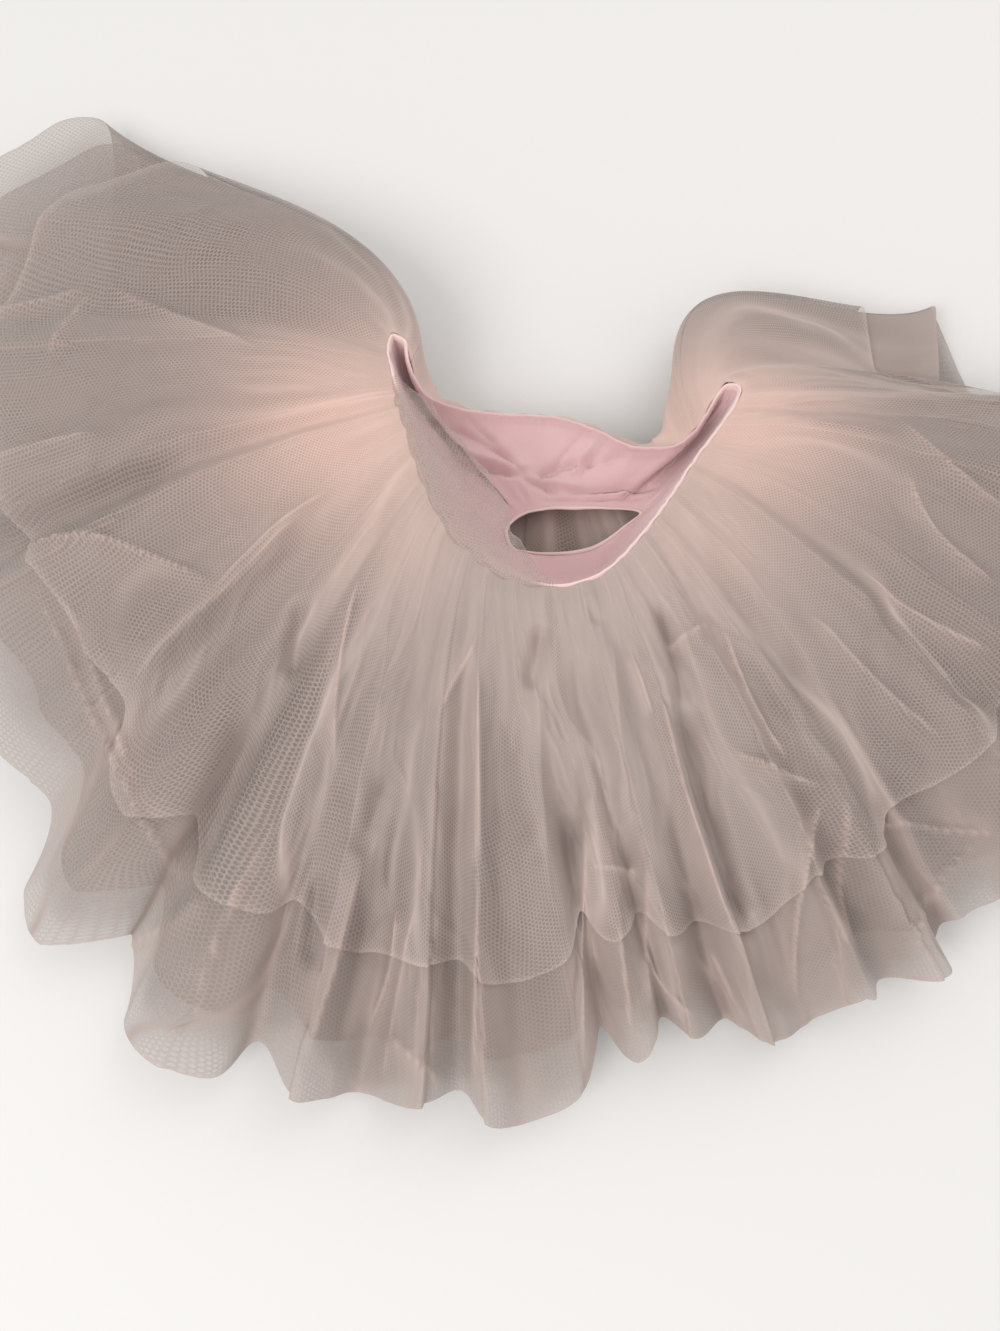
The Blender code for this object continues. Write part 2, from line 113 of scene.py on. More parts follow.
# %% The hem line
# lead: where the cloth heads as it leaves the waist; rise: its height there, above the
# waist; crown: its height as it nears the hem; ruffle: half the height of the waves at
# the hem; step: from one layer to the next at the hem.
HemStop = namedtuple("HemStop", "share x y z lead_x lead_y rise crown ruffle step")
HEM = table_of(
    HemStop,
    (0.970, -0.274, 0.283, 0.0130, 0.005, 0.090, -0.002, 0.020, 0.000, 0.0034),   # left fold
    (0.980, -0.294, 0.274, 0.0210, -0.004, 0.092, 0.004, 0.030, 0.001, 0.0038),
    (0.989, -0.315, 0.254, 0.0220, -0.018, 0.088, 0.006, 0.034, 0.003, 0.0042),
    (0.998, -0.336, 0.228, 0.0220, -0.040, 0.080, 0.010, 0.036, 0.005, 0.0046),
    (0.012, -0.360, 0.190, 0.0220, -0.072, 0.054, 0.012, 0.042, 0.009, 0.0048),
    (0.026, -0.374, 0.125, 0.0170, -0.092, 0.022, 0.014, 0.046, 0.010, 0.0048),
    (0.046, -0.372, 0.060, 0.0170, -0.096, 0.000, 0.014, 0.048, 0.010, 0.0048),
    (0.066, -0.352, 0.000, 0.0170, -0.090, -0.022, 0.014, 0.050, 0.010, 0.0048),
    (0.086, -0.318, -0.055, 0.0170, -0.082, -0.036, 0.012, 0.050, 0.010, 0.0048),
    (0.102, -0.284, -0.104, 0.0170, -0.072, -0.048, 0.010, 0.050, 0.010, 0.0048),
    (0.114, -0.246, -0.137, 0.0160, -0.062, -0.056, 0.010, 0.050, 0.009, 0.0048),
    (0.126, -0.263, -0.180, 0.0145, -0.056, -0.064, 0.010, 0.048, 0.009, 0.0048),
    (0.136, -0.248, -0.202, 0.0140, -0.052, -0.068, 0.008, 0.046, 0.009, 0.0048),
    (0.148, -0.205, -0.198, 0.0145, -0.046, -0.070, 0.008, 0.046, 0.009, 0.0048),
    (0.158, -0.210, -0.236, 0.0145, -0.042, -0.074, 0.008, 0.046, 0.010, 0.0048),
    (0.174, -0.162, -0.261, 0.0145, -0.036, -0.078, 0.008, 0.046, 0.011, 0.0048),
    (0.188, -0.143, -0.248, 0.0145, -0.032, -0.080, 0.008, 0.046, 0.011, 0.0048),
    (0.204, -0.117, -0.268, 0.0145, -0.026, -0.082, 0.008, 0.046, 0.011, 0.0048),
    (0.226, -0.088, -0.275, 0.0145, -0.020, -0.084, 0.008, 0.046, 0.012, 0.0048),
    (0.248, -0.050, -0.272, 0.0145, -0.012, -0.085, 0.008, 0.046, 0.012, 0.0048),
    (0.268, -0.020, -0.284, 0.0135, -0.006, -0.086, 0.008, 0.044, 0.008, 0.0048),
    (0.282, 0.006, -0.266, 0.0135, 0.000, -0.084, 0.008, 0.044, 0.006, 0.0048),
    (0.294, 0.016, -0.240, 0.0145, 0.004, -0.080, 0.008, 0.044, 0.006, 0.0048),
    (0.308, 0.031, -0.253, 0.0135, 0.008, -0.080, 0.008, 0.044, 0.007, 0.0048),
    (0.320, 0.041, -0.236, 0.0145, 0.010, -0.078, 0.008, 0.044, 0.008, 0.0048),
    (0.348, 0.072, -0.242, 0.0145, 0.016, -0.078, 0.008, 0.044, 0.011, 0.0048),
    (0.380, 0.106, -0.243, 0.0145, 0.022, -0.076, 0.008, 0.044, 0.011, 0.0048),
    (0.415, 0.147, -0.222, 0.0145, 0.034, -0.072, 0.008, 0.044, 0.010, 0.0048),
    (0.436, 0.179, -0.212, 0.0135, 0.044, -0.066, 0.008, 0.044, 0.009, 0.0048),
    (0.448, 0.178, -0.193, 0.0145, 0.050, -0.060, 0.008, 0.044, 0.009, 0.0048),
    (0.470, 0.218, -0.180, 0.0145, 0.058, -0.054, 0.010, 0.046, 0.010, 0.0048),
    (0.498, 0.276, -0.132, 0.0160, 0.074, -0.040, 0.012, 0.048, 0.010, 0.0048),
    (0.520, 0.322, -0.078, 0.0160, 0.086, -0.024, 0.014, 0.048, 0.010, 0.0048),
    (0.542, 0.354, -0.018, 0.0160, 0.094, -0.008, 0.014, 0.046, 0.010, 0.0048),
    (0.560, 0.372, 0.036, 0.0145, 0.094, 0.004, 0.000, 0.034, 0.007, 0.0044),
    (0.577, 0.360, 0.070, 0.0160, 0.090, 0.004, -0.010, 0.028, 0.004, 0.0040),
    (0.590, 0.320, 0.078, 0.0160, 0.072, 0.014, -0.016, 0.024, 0.003, 0.0036),
    (0.604, 0.268, 0.086, 0.0160, 0.044, 0.034, -0.020, 0.022, 0.002, 0.0034),
    (0.620, 0.214, 0.102, 0.0160, 0.012, 0.084, -0.022, 0.020, 0.001, 0.0032),
    (0.634, 0.216, 0.126, 0.0150, -0.006, 0.122, -0.022, 0.020, 0.001, 0.0032),
    (0.653, 0.221, 0.153, 0.0110, -0.020, 0.158, -0.024, 0.016, 0.000, 0.0032),   # right fold
    (0.674, 0.236, 0.108, 0.0060, -0.014, 0.104, -0.034, 0.006, 0.001, 0.0030),
    (0.694, 0.258, 0.044, 0.0070, -0.006, 0.052, -0.038, 0.007, 0.004, 0.0028),
    (0.716, 0.255, -0.028, 0.0070, 0.010, 0.016, -0.042, 0.007, 0.005, 0.0030),
    (0.738, 0.226, -0.092, 0.0070, 0.008, 0.014, -0.042, 0.007, 0.005, 0.0030),
    (0.762, 0.166, -0.142, 0.0070, 0.006, 0.014, -0.042, 0.007, 0.005, 0.0030),
    (0.788, 0.092, -0.174, 0.0070, 0.003, 0.014, -0.042, 0.007, 0.005, 0.0030),
    (0.816, 0.002, -0.184, 0.0070, 0.000, 0.014, -0.042, 0.007, 0.005, 0.0030),
    (0.842, -0.088, -0.171, 0.0070, -0.003, 0.014, -0.042, 0.007, 0.005, 0.0030),
    (0.866, -0.164, -0.130, 0.0070, -0.006, 0.014, -0.042, 0.007, 0.005, 0.0030),
    (0.888, -0.220, -0.066, 0.0070, -0.008, 0.014, -0.042, 0.007, 0.005, 0.0030),
    (0.908, -0.250, 0.010, 0.0070, -0.010, 0.018, -0.042, 0.007, 0.005, 0.0030),
    (0.926, -0.262, 0.092, 0.0070, -0.010, 0.026, -0.040, 0.007, 0.004, 0.0030),
    (0.944, -0.262, 0.180, 0.0060, 0.004, 0.050, -0.036, 0.006, 0.001, 0.0030),
    (0.960, -0.265, 0.254, 0.0070, 0.006, 0.076, -0.022, 0.010, 0.000, 0.0032),
)
print(f"{len(WAIST)} places along the waist and {len(HEM)} along the hem")

# %% [markdown]
# A table gives places only at its rows. Between them each column is read by a smooth
# curve that never swings past its neighbours: at a peak its slope is nought, elsewhere
# it is the gentle mean of the slopes on both sides. Whole arrays of shares are read at
# once, because a sheet of net has tens of thousands of points.

# %% Reading a closed table
def read_line(table, share):
    """Every column of a closed table at an array of shares."""
    rows = sorted(table, key=lambda row: row.share)
    at = np.array([row.share for row in rows])
    width = (np.roll(at, -1) - at) % 1.0
    share = np.asarray(share) % 1.0
    here = (np.searchsorted(at, share, side="right") - 1) % len(rows)
    after = (here + 1) % len(rows)
    t = ((share - at[here]) % 1.0) / width[here]
    found = {}
    for field in rows[0]._fields[1:]:
        value = np.array([getattr(row, field) for row in rows])
        grade_out = (np.roll(value, -1) - value) / width
        grade_in = np.roll(grade_out, 1)
        both = grade_in * grade_out
        slope = np.where(both > 0, 2 * both / np.where(both > 0, grade_in + grade_out, 1.0), 0.0)
        found[field] = (
            (2 * t**3 - 3 * t**2 + 1) * value[here]
            + (t**3 - 2 * t**2 + t) * width[here] * slope[here]
            + (3 * t**2 - 2 * t**3) * value[after]
            + (t**3 - t**2) * width[here] * slope[after]
        )
    return found


# %% Small helpers for points
def points(x, y, z):
    """One array of points from three arrays or numbers of like shape."""
    return np.stack(np.broadcast_arrays(x, y, z), axis=-1)


def unit(vectors):
    """The same directions, each of length 1."""
    return vectors / np.linalg.norm(vectors, axis=-1, keepdims=True)


def ease(t):
    """An easy step from 0 to 1."""
    t = np.clip(t, 0.0, 1.0)
    return t * t * (3 - 2 * t)


def length_of(line):
    """The length of a line of points."""
    return float(np.linalg.norm(np.diff(line, axis=0), axis=1).sum())


# %% The waist's points and directions
TANGENT_SPAN = 0.004   # shares either side over which the waist's direction is taken


def waist_at(share):
    """Points on the middle of the waist binding."""
    row = read_line(WAIST, share)
    return points(row["x"], row["y"], row["z"])


def waist_outward(share):
    """The level direction away from the wearer."""
    along = waist_at(share + TANGENT_SPAN) - waist_at(share - TANGENT_SPAN)
    return unit(points(along[..., 1], -along[..., 0], 0.0))


print(f"the elastic is {length_of(waist_at(np.linspace(0, 1, 721))) * 1000:.0f} mm round")

# %% [markdown]
# ## The smooth form under the net
#
# From the waist each strand of cloth first heads the way the gathers push it, rises a
# little, then falls over to its hem. A cubic Bezier curve says exactly that with four
# points: the stitching, the lead out of it, the crown before the hem, and the hem. All
# three layers follow this one form, each a little further out along the way it faces.

# %% One curve from waist to hem at every share
BAND_THICK = 0.0026     # elastic in its jersey cover, across
BAND_TALL = 0.0080      # and from edge to edge
SEAM_GAP = 0.0003
SEAM_RUFFLE = 0.0006    # height of the gathers in the stitching
OFF_BAND = BAND_THICK / 2 + SEAM_GAP + SEAM_RUFFLE
HEM_PULL = 0.36         # how much of the way back from the hem the crown stands
FACING_SPAN = (0.010, 0.05)


def skirt_form(share, down):
    """Points on the smooth form, for a row of shares and a column of downs."""
    hem = read_line(HEM, share)
    start = waist_at(share) + waist_outward(share) * OFF_BAND
    end = points(hem["x"], hem["y"], hem["z"])
    lead = start + points(hem["lead_x"], hem["lead_y"], hem["rise"])
    crown = end + (start - end) * HEM_PULL
    crown[..., 2] = hem["crown"]
    down = down[..., None]
    up = 1.0 - down
    return start * up**3 + lead * 3 * up**2 * down + crown * 3 * up * down**2 + end * down**3


def skirt_facing(share, down):
    """The way the form faces, out of the skirt."""
    round_span, down_span = FACING_SPAN
    along = skirt_form(share + round_span, down) - skirt_form(share - round_span, down)
    low, high = np.clip(down - down_span, 0, 1), np.clip(down + down_span, 0, 1)
    fall = skirt_form(share, high) - skirt_form(share, low)
    return unit(np.cross(fall, along))


FRONT_MIDDLE = 0.32      # the share at the lowest dip of the waist's front
strand = skirt_form(np.array([FRONT_MIDDLE]), np.linspace(0, 1, 60)[:, None])[:, 0]
print(f"from the front's lowest dip to its hem is {length_of(strand) * 1000:.0f} mm of cloth")

# %% [markdown]
# ## Folds at five sizes
#
# Look closely at gathered net and there are folds in folds: the big waves that the hem
# rolls in, long soft folds that run from the waist and fade, sharp creases from being
# packed away, small crinkles, and the tiny gathers in the stitching. Sines would look
# combed. A grid of random heights, stretched long from waist to hem and read smoothly,
# gives folds that wander, split and die out. Taking its zero line as a crest turns it
# into creases.

# %% Random heights that join up round the waist
def folds_field(share, down, around, along, seed):
    """Smooth noise from -1 to 1 with so many cells round the waist and down the cloth."""
    grid = np.random.default_rng(seed).uniform(-1, 1, (along + 2, around))
    s = (share % 1.0) * around
    d = np.clip(down, 0, 1) * along
    s0, d0 = np.floor(s).astype(int), np.floor(d).astype(int)
    s_part, d_part = ease(s - s0), ease(d - d0)
    left, right = s0 % around, (s0 + 1) % around
    upper = grid[d0, left] * (1 - s_part) + grid[d0, right] * s_part
    lower = grid[d0 + 1, left] * (1 - s_part) + grid[d0 + 1, right] * s_part
    return upper * (1 - d_part) + lower * d_part


sample = folds_field(np.linspace(0, 1, 500), 0.5, 46, 2, 13)
print(f"half way down, its heights run from {sample.min():.2f} to {sample.max():.2f}")

# %% The folds that all layers share, and each layer's own
# around, along: cells of the field; at_waist, middle, at_hem: half heights in metres;
# wander: how many of its own cells a fold strays sideways; crest: 0 soft, 1 a crease.
Fold = namedtuple("Fold", "name around along at_waist middle at_hem wander crest seed")
SHARED_FOLDS = (
    Fold("gathers", 300, 7, 0.0003, 0.0003, 0.0001, 2.2, 0.0, 11),
    Fold("soft folds", 92, 2, 0.0006, 0.0024, 0.0016, 1.0, 0.0, 12),
    Fold("long folds", 46, 2, 0.0003, 0.0052, 0.0060, 0.8, 0.0, 13),
)
OWN_FOLDS = (
    Fold("creases", 52, 3, 0.0001, 0.0010, 0.0013, 1.4, 1.0, 21),
    Fold("own folds", 70, 2, 0.0001, 0.0014, 0.0020, 1.2, 0.0, 22),
    Fold("crinkles", 150, 17, 0.0001, 0.0007, 0.0009, 3.0, 0.6, 23),
)
WHERE = (0.0, 0.03, 0.45, 1.0)   # downs of the stitching and of a fold's three heights
IN_STITCHING = 0.3               # share of its height at the waist left in the stitching
WANDER_CELLS, WANDER_SEED = (40, 5), 500   # the field that a fold's wandering is read from
CREASE_FALL, CREASE_POINT = 2.4, 0.8   # how fast and how sharply a creased fold falls


def wandering_field(fold, share, down, seed):
    """A fold's own field, with its lines straying sideways as they fall."""
    stray = folds_field(share, down, *WANDER_CELLS, seed + WANDER_SEED)
    share = share + stray * fold.wander / fold.around
    return folds_field(share, down, fold.around, fold.along, seed)


def strength_at(fold, down):
    """A fold's half height at each down."""
    in_stitching = IN_STITCHING * fold.at_waist
    return np.interp(down, WHERE, (in_stitching, fold.at_waist, fold.middle, fold.at_hem))


def fold_heights(folds, share, down, extra_seed=0):
    """All the folds of a table added up, in metres."""
    total = np.zeros(np.broadcast(share, down).shape)
    for fold in folds:
        field = wandering_field(fold, share, down, fold.seed + extra_seed)
        creased = 1.0 - CREASE_FALL * np.abs(field) ** CREASE_POINT
        shape = field * (1 - fold.crest) + creased * fold.crest
        total += shape * strength_at(fold, down)
    return total


print("folds:", ", ".join(fold.name for fold in SHARED_FOLDS + OWN_FOLDS))

# %% [markdown]
# Gathers also crowd the cloth sideways: here ten threads lie where four belong, and
# beside them the net is stretched open. Crowding is the same kind of field, but it
# slides the cloth along the hem, never so far that it would fold over itself.

# %% Crowding
# at_waist, middle, at_hem are now the steepest slide, where 1 would stack the threads.
CROWDING = (
    Fold("bundles", 60, 2, 0.09, 0.32, 0.30, 1.0, 0.0, 31),
    Fold("strands", 210, 5, 0.04, 0.09, 0.06, 2.6, 0.0, 32),
)


def crowd(share, down, calm):
    """How far the cloth at each share slides round, in shares."""
    slide = np.zeros(np.broadcast(share, down).shape)
    for fold in CROWDING:
        field = wandering_field(fold, share, down, fold.seed)
        slide += field * strength_at(fold, down) / fold.around
    return slide * calm


print("crowded sideways in", " and ".join(fold.name for fold in CROWDING))

# %% The big waves of the hem
FLUTES = 35
WIDTH_SWINGS = ((0.30, 2.1, 0.0), (0.18, 5.3, 1.0))   # uneven widths: size, pace, start
HEIGHT_SWING = (0.86, 0.26, 3.7, 0.6)   # uneven heights: middle, size, pace, start
RUFFLE_GROWTH = 1.25     # above 1, the waves stay low by the waist and rise by the hem
flute_number = np.arange(FLUTES)
flute_widths = 1 + sum(
    size * np.sin(pace * flute_number + start) for size, pace, start in WIDTH_SWINGS
)
FLUTE_EDGES = np.concatenate([[0.0], np.cumsum(flute_widths) / flute_widths.sum()])


def wave_at(share):
    """How high the cloth stands on its wave, about -1 to 1."""
    middle, size, pace, begin = HEIGHT_SWING
    share = share % 1.0
    flute = np.clip(np.searchsorted(FLUTE_EDGES, share, side="right") - 1, 0, FLUTES - 1)
    turn = (share - FLUTE_EDGES[flute]) / (FLUTE_EDGES[flute + 1] - FLUTE_EDGES[flute])
    return (middle + size * np.sin(pace * flute + begin)) * np.cos(2 * math.pi * turn)


uneven = flute_widths.max() / flute_widths.min()
print(f"{FLUTES} hem waves, the widest {uneven:.1f} times the narrowest")

# %% [markdown]
# ## Creases placed one by one
#
# Some folds are landmarks: the deep valley right of the middle, the long pressed lines
# across the left lobe, the hem corners turned under. They are a table of bowed lines in
# the plan view. Each lifts or sinks the cloth near it, sharply across and softly at its
# ends. A pressed crease also shows as a pale thread line, partly more thread where the
# net turns and partly a painted highlight, with a band of doubled cloth on one side of
# it, because there the net lies folded on itself.

# %% The landmark creases
# bow: how far its middle stands off the straight line; wide: its half width; high: up
# or down; sharp: 1 for a pressed crease, 0 for a soft trough; doubled: how wide the
# folded cloth beside it is, minus when it lies on the other side.
Crease = namedtuple("Crease", "x0 y0 x1 y1 bow wide high sharp doubled")
FRONT_CREASES = table_of(
    Crease,
    (0.050, -0.088, 0.086, -0.207, 0.002, 0.0060, -0.0150, 0.2, 0.000),   # deep valley
    (0.043, -0.096, 0.079, -0.207, 0.003, 0.0032, 0.0050, 0.8, 0.012),   # its lip
    (0.043, -0.050, 0.056, -0.104, 0.000, 0.0040, -0.0065, 0.2, 0.000),   # above it
    (-0.010, -0.062, -0.017, -0.098, 0.000, 0.0042, -0.0055, 0.2, 0.000),
    (0.006, -0.044, 0.016, -0.066, 0.000, 0.0030, -0.0045, 0.3, 0.000),
    (0.030, -0.078, 0.040, -0.108, 0.000, 0.0030, 0.0030, 0.8, 0.004),
    (0.045, -0.076, 0.069, -0.062, 0.000, 0.0030, 0.0030, 0.8, 0.004),
    (0.073, -0.061, 0.104, -0.129, 0.004, 0.0040, 0.0050, 0.9, 0.008),
    (0.074, -0.124, 0.118, -0.137, 0.000, 0.0030, 0.0040, 0.9, 0.005),
    (0.100, -0.100, 0.119, -0.138, 0.000, 0.0045, -0.0050, 0.2, 0.000),
    (0.121, -0.135, 0.111, -0.233, 0.008, 0.0040, 0.0060, 0.9, 0.008),
    (0.142, -0.028, 0.209, -0.071, 0.006, 0.0050, 0.0050, 0.8, 0.010),
    (0.113, -0.051, 0.184, -0.114, 0.004, 0.0060, 0.0060, 0.6, 0.012),
    (0.140, -0.151, 0.212, -0.153, 0.000, 0.0040, 0.0060, 0.9, -0.008),
    (0.201, -0.155, 0.159, -0.212, 0.007, 0.0040, 0.0060, 0.9, -0.008),
    (0.127, -0.142, 0.134, -0.208, 0.001, 0.0040, 0.0050, 0.8, 0.006),
    (0.067, -0.205, 0.085, -0.241, 0.000, 0.0030, 0.0040, 0.9, 0.006),
    (0.037, -0.203, 0.060, -0.238, 0.005, 0.0030, 0.0040, 0.9, 0.005),
    (0.008, -0.174, 0.035, -0.174, 0.000, 0.0030, 0.0030, 0.9, 0.004),
    (0.008, -0.145, 0.008, -0.262, 0.000, 0.0040, 0.0060, 0.9, -0.012),
    (0.023, -0.195, 0.030, -0.246, 0.000, 0.0030, 0.0040, 0.8, 0.004),
    (0.035, -0.170, 0.039, -0.236, 0.000, 0.0040, 0.0050, 0.8, -0.006),
    (-0.040, -0.070, -0.058, -0.108, 0.000, 0.0030, 0.0030, 1.0, 0.008),
    (-0.040, -0.082, -0.039, -0.176, 0.000, 0.0040, 0.0040, 0.9, 0.010),
    (-0.096, -0.036, -0.106, -0.128, 0.003, 0.0030, 0.0030, 1.0, 0.008),
    (-0.120, 0.000, -0.210, -0.088, -0.004, 0.0070, 0.0085, 0.6, 0.010),   # left ridge
    (-0.264, -0.026, -0.173, -0.186, 0.004, 0.0030, 0.0060, 1.0, -0.014),
    (-0.248, -0.032, -0.198, -0.142, 0.000, 0.0030, 0.0045, 1.0, 0.008),
    (-0.130, -0.150, -0.171, -0.245, 0.005, 0.0040, 0.0060, 0.9, -0.014),
    (-0.093, -0.170, -0.117, -0.254, -0.002, 0.0035, 0.0060, 0.9, 0.012),
    (-0.090, -0.176, -0.109, -0.260, -0.002, 0.0055, -0.0090, 0.2, 0.000),
    (-0.077, -0.188, -0.093, -0.244, -0.004, 0.0030, 0.0050, 0.9, 0.006),
    (-0.084, -0.243, -0.052, -0.269, 0.000, 0.0030, 0.0040, 1.0, 0.005),
    (-0.039, -0.174, -0.043, -0.276, 0.000, 0.0035, 0.0060, 0.9, -0.010),
    (-0.124, -0.044, -0.130, -0.086, 0.000, 0.0050, -0.0070, 0.2, 0.000),
    (-0.114, -0.172, -0.118, -0.218, 0.000, 0.0050, -0.0080, 0.2, 0.000),
    (-0.080, -0.130, -0.096, -0.170, 0.000, 0.0050, -0.0060, 0.2, 0.000),
    (-0.286, -0.013, -0.160, -0.047, -0.013, 0.0040, 0.0060, 0.9, 0.016),   # left loop
    (-0.166, -0.047, -0.112, 0.008, -0.002, 0.0040, 0.0050, 0.8, 0.006),
    (-0.300, 0.004, -0.180, 0.028, 0.002, 0.0110, -0.0110, 0.1, 0.000),
    (-0.300, 0.031, -0.226, 0.040, -0.003, 0.0050, 0.0050, 0.6, 0.012),
    (-0.242, 0.140, -0.150, 0.088, 0.004, 0.0050, 0.0040, 0.6, 0.010),
    (-0.312, 0.127, -0.248, 0.138, 0.000, 0.0050, 0.0040, 0.6, 0.010),
    (-0.266, 0.090, -0.248, 0.140, 0.000, 0.0040, 0.0030, 0.7, 0.006),
    (0.168, 0.022, 0.216, -0.037, 0.010, 0.0040, 0.0040, 0.9, 0.008),
    (0.170, 0.054, 0.222, 0.000, 0.007, 0.0040, 0.0040, 0.8, 0.008),
    (0.146, -0.044, 0.205, -0.096, 0.007, 0.0090, -0.0080, 0.1, 0.000),
    (-0.216, -0.209, -0.163, -0.182, 0.000, 0.0040, 0.0050, 0.8, 0.010),
    (-0.066, -0.184, -0.085, -0.267, 0.001, 0.0040, 0.0040, 0.7, 0.008),
    (-0.013, -0.090, -0.007, -0.194, 0.001, 0.0060, 0.0045, 0.4, 0.012),
    (0.021, -0.066, 0.026, -0.172, 0.000, 0.0060, 0.0045, 0.4, 0.012),
    (0.004, -0.076, 0.002, -0.176, -0.003, 0.0075, -0.0065, 0.1, 0.000),
    (-0.146, -0.098, -0.174, -0.174, 0.001, 0.0075, -0.0080, 0.1, 0.000),
    (0.226, -0.020, 0.310, -0.060, 0.005, 0.0050, 0.0050, 0.7, 0.010),
    (0.240, 0.020, 0.330, 0.004, -0.004, 0.0070, -0.0070, 0.1, 0.000),
    (0.236, -0.092, 0.266, -0.124, 0.004, 0.0040, 0.0050, 0.9, 0.008),
    (-0.330, 0.040, -0.306, 0.180, 0.006, 0.0040, 0.0050, 0.8, 0.010),
    (-0.336, -0.010, -0.286, -0.070, -0.004, 0.0040, 0.0050, 0.8, -0.010),
)
BACK_CREASES = table_of(
    Crease,
    (-0.060, 0.060, -0.180, -0.050, 0.008, 0.0060, 0.0050, 0.5, 0.010),
    (-0.030, 0.040, -0.070, -0.150, -0.006, 0.0050, 0.0045, 0.7, 0.012),
    (0.010, 0.040, 0.030, -0.160, 0.006, 0.0060, -0.0050, 0.2, 0.000),
    (0.050, 0.040, 0.150, -0.120, -0.008, 0.0050, 0.0045, 0.7, 0.010),
    (0.080, 0.060, 0.220, -0.020, 0.006, 0.0060, -0.0050, 0.2, 0.000),
    (-0.100, 0.090, -0.240, 0.090, 0.010, 0.0050, 0.0045, 0.7, 0.012),
    (-0.220, 0.020, -0.180, -0.110, 0.006, 0.0040, 0.0040, 0.9, 0.010),
    (0.120, -0.060, 0.170, -0.130, -0.005, 0.0040, 0.0040, 0.8, -0.010),
)
print(f"{len(FRONT_CREASES)} creases by hand in front and {len(BACK_CREASES)} behind")

# %% How a crease lifts the cloth
CREASE_ENDS = 0.22       # share of a crease's length over which it rises and dies
CREASE_TAPER = 1.6       # how fast a pressed crease falls away to its sides


def beside_crease(crease, x, y):
    """How far to the side of a crease points lie, and how alive it is there."""
    run_x, run_y = crease.x1 - crease.x0, crease.y1 - crease.y0
    length = math.hypot(run_x, run_y)
    along = ((x - crease.x0) * run_x + (y - crease.y0) * run_y) / length**2
    aside = ((x - crease.x0) * run_y - (y - crease.y0) * run_x) / length
    alive = ease(along / CREASE_ENDS) * ease((1 - along) / CREASE_ENDS)
    return aside - 4 * crease.bow * along * (1 - along), alive


def crease_lift(creases, grid):
    """How far the landmark creases lift each point of a grid."""
    lift = np.zeros(grid.shape[:2])
    for crease in creases:
        aside, alive = beside_crease(crease, grid[..., 0], grid[..., 1])
        off = np.abs(aside) / crease.wide
        pressed, soft = np.exp(-CREASE_TAPER * off), np.exp(-(off**2))
        lift += crease.high * (crease.sharp * pressed + (1 - crease.sharp) * soft) * alive
    return lift


deepest = min(FRONT_CREASES, key=lambda crease: crease.high)
print(f"the deepest trough in front sinks the cloth {-deepest.high * 1000:.0f} mm")

# %% How a pressed crease shows
# The pale line along a pressed crease is a painted highlight.
LINE_HALF_WIDE = 0.0009  # of the pale line along a pressed crease
LINE_FROM = 0.5          # creases sharper than this show one
DOUBLED_SHADE = 0.42     # how strongly doubled cloth shows, beside the line's 1


def crease_highlights_and_doubling(creases, grid):
    """How pale the pressed creases show at each point of a grid, 0 to 1: a painted highlight
    along each crease's line, and the doubled cloth beside it.
    """
    pale = np.zeros(grid.shape[:2])
    for crease in creases:
        if crease.sharp < LINE_FROM:
            continue
        aside, alive = beside_crease(crease, grid[..., 0], grid[..., 1])
        side = aside * math.copysign(1, crease.doubled)
        line = np.exp(-((aside / LINE_HALF_WIDE) ** 2))
        doubled = np.where(side > 0, np.exp(-((side / abs(crease.doubled)) ** 2)), 0.0)
        pale = np.maximum(pale, crease.sharp * alive * np.maximum(line, DOUBLED_SHADE * doubled))
    return pale


pressed_lines = sum(crease.sharp >= LINE_FROM for crease in FRONT_CREASES)
print(f"{pressed_lines} of the creases in front show as pale lines")

# %% [markdown]
# ## Sheets of mesh with the cloth's own coordinates
#
# A sheet is a grid of points, so its faces, its flat coordinates and its measures all
# come from one array. The flat coordinates are in metres of cloth, which lets a finish
# draw threads at their true pitch however the sheet is folded. A second, tidy map lays
# the whole cloth in the unit square in stacked strips, for anyone who bakes the finish
# to a picture.

# %% From an array of points to a mesh
STRIP_FILL = 0.98    # how much of its strip's length and height the cloth takes
JUST_UNDER = 0.99999  # keeps the far end of the cloth in its last strip


def add_object(name, data):
    """A new object in the scene, from its mesh, lamp or camera."""
    thing = bpy.data.objects.new(name, data)
    bpy.context.scene.collection.objects.link(thing)
    return thing


def grid_faces(rows, columns, closed):
    """Corner numbers of the quads of a grid, which may close on itself."""
    across = columns if closed else columns - 1
    row, column = np.meshgrid(np.arange(rows - 1), np.arange(across), indexing="ij")
    after = (column + 1) % columns
    here, below = row * columns, (row + 1) * columns
    corners = (here + column, below + column, below + after, here + after)
    return np.stack(corners, -1).reshape(-1, 4)


def spread(cut, columns, rows):
    """Even places along and down a piece of cloth, from its cut."""
    return np.linspace(0, cut[0], columns), np.linspace(0, cut[1], rows)


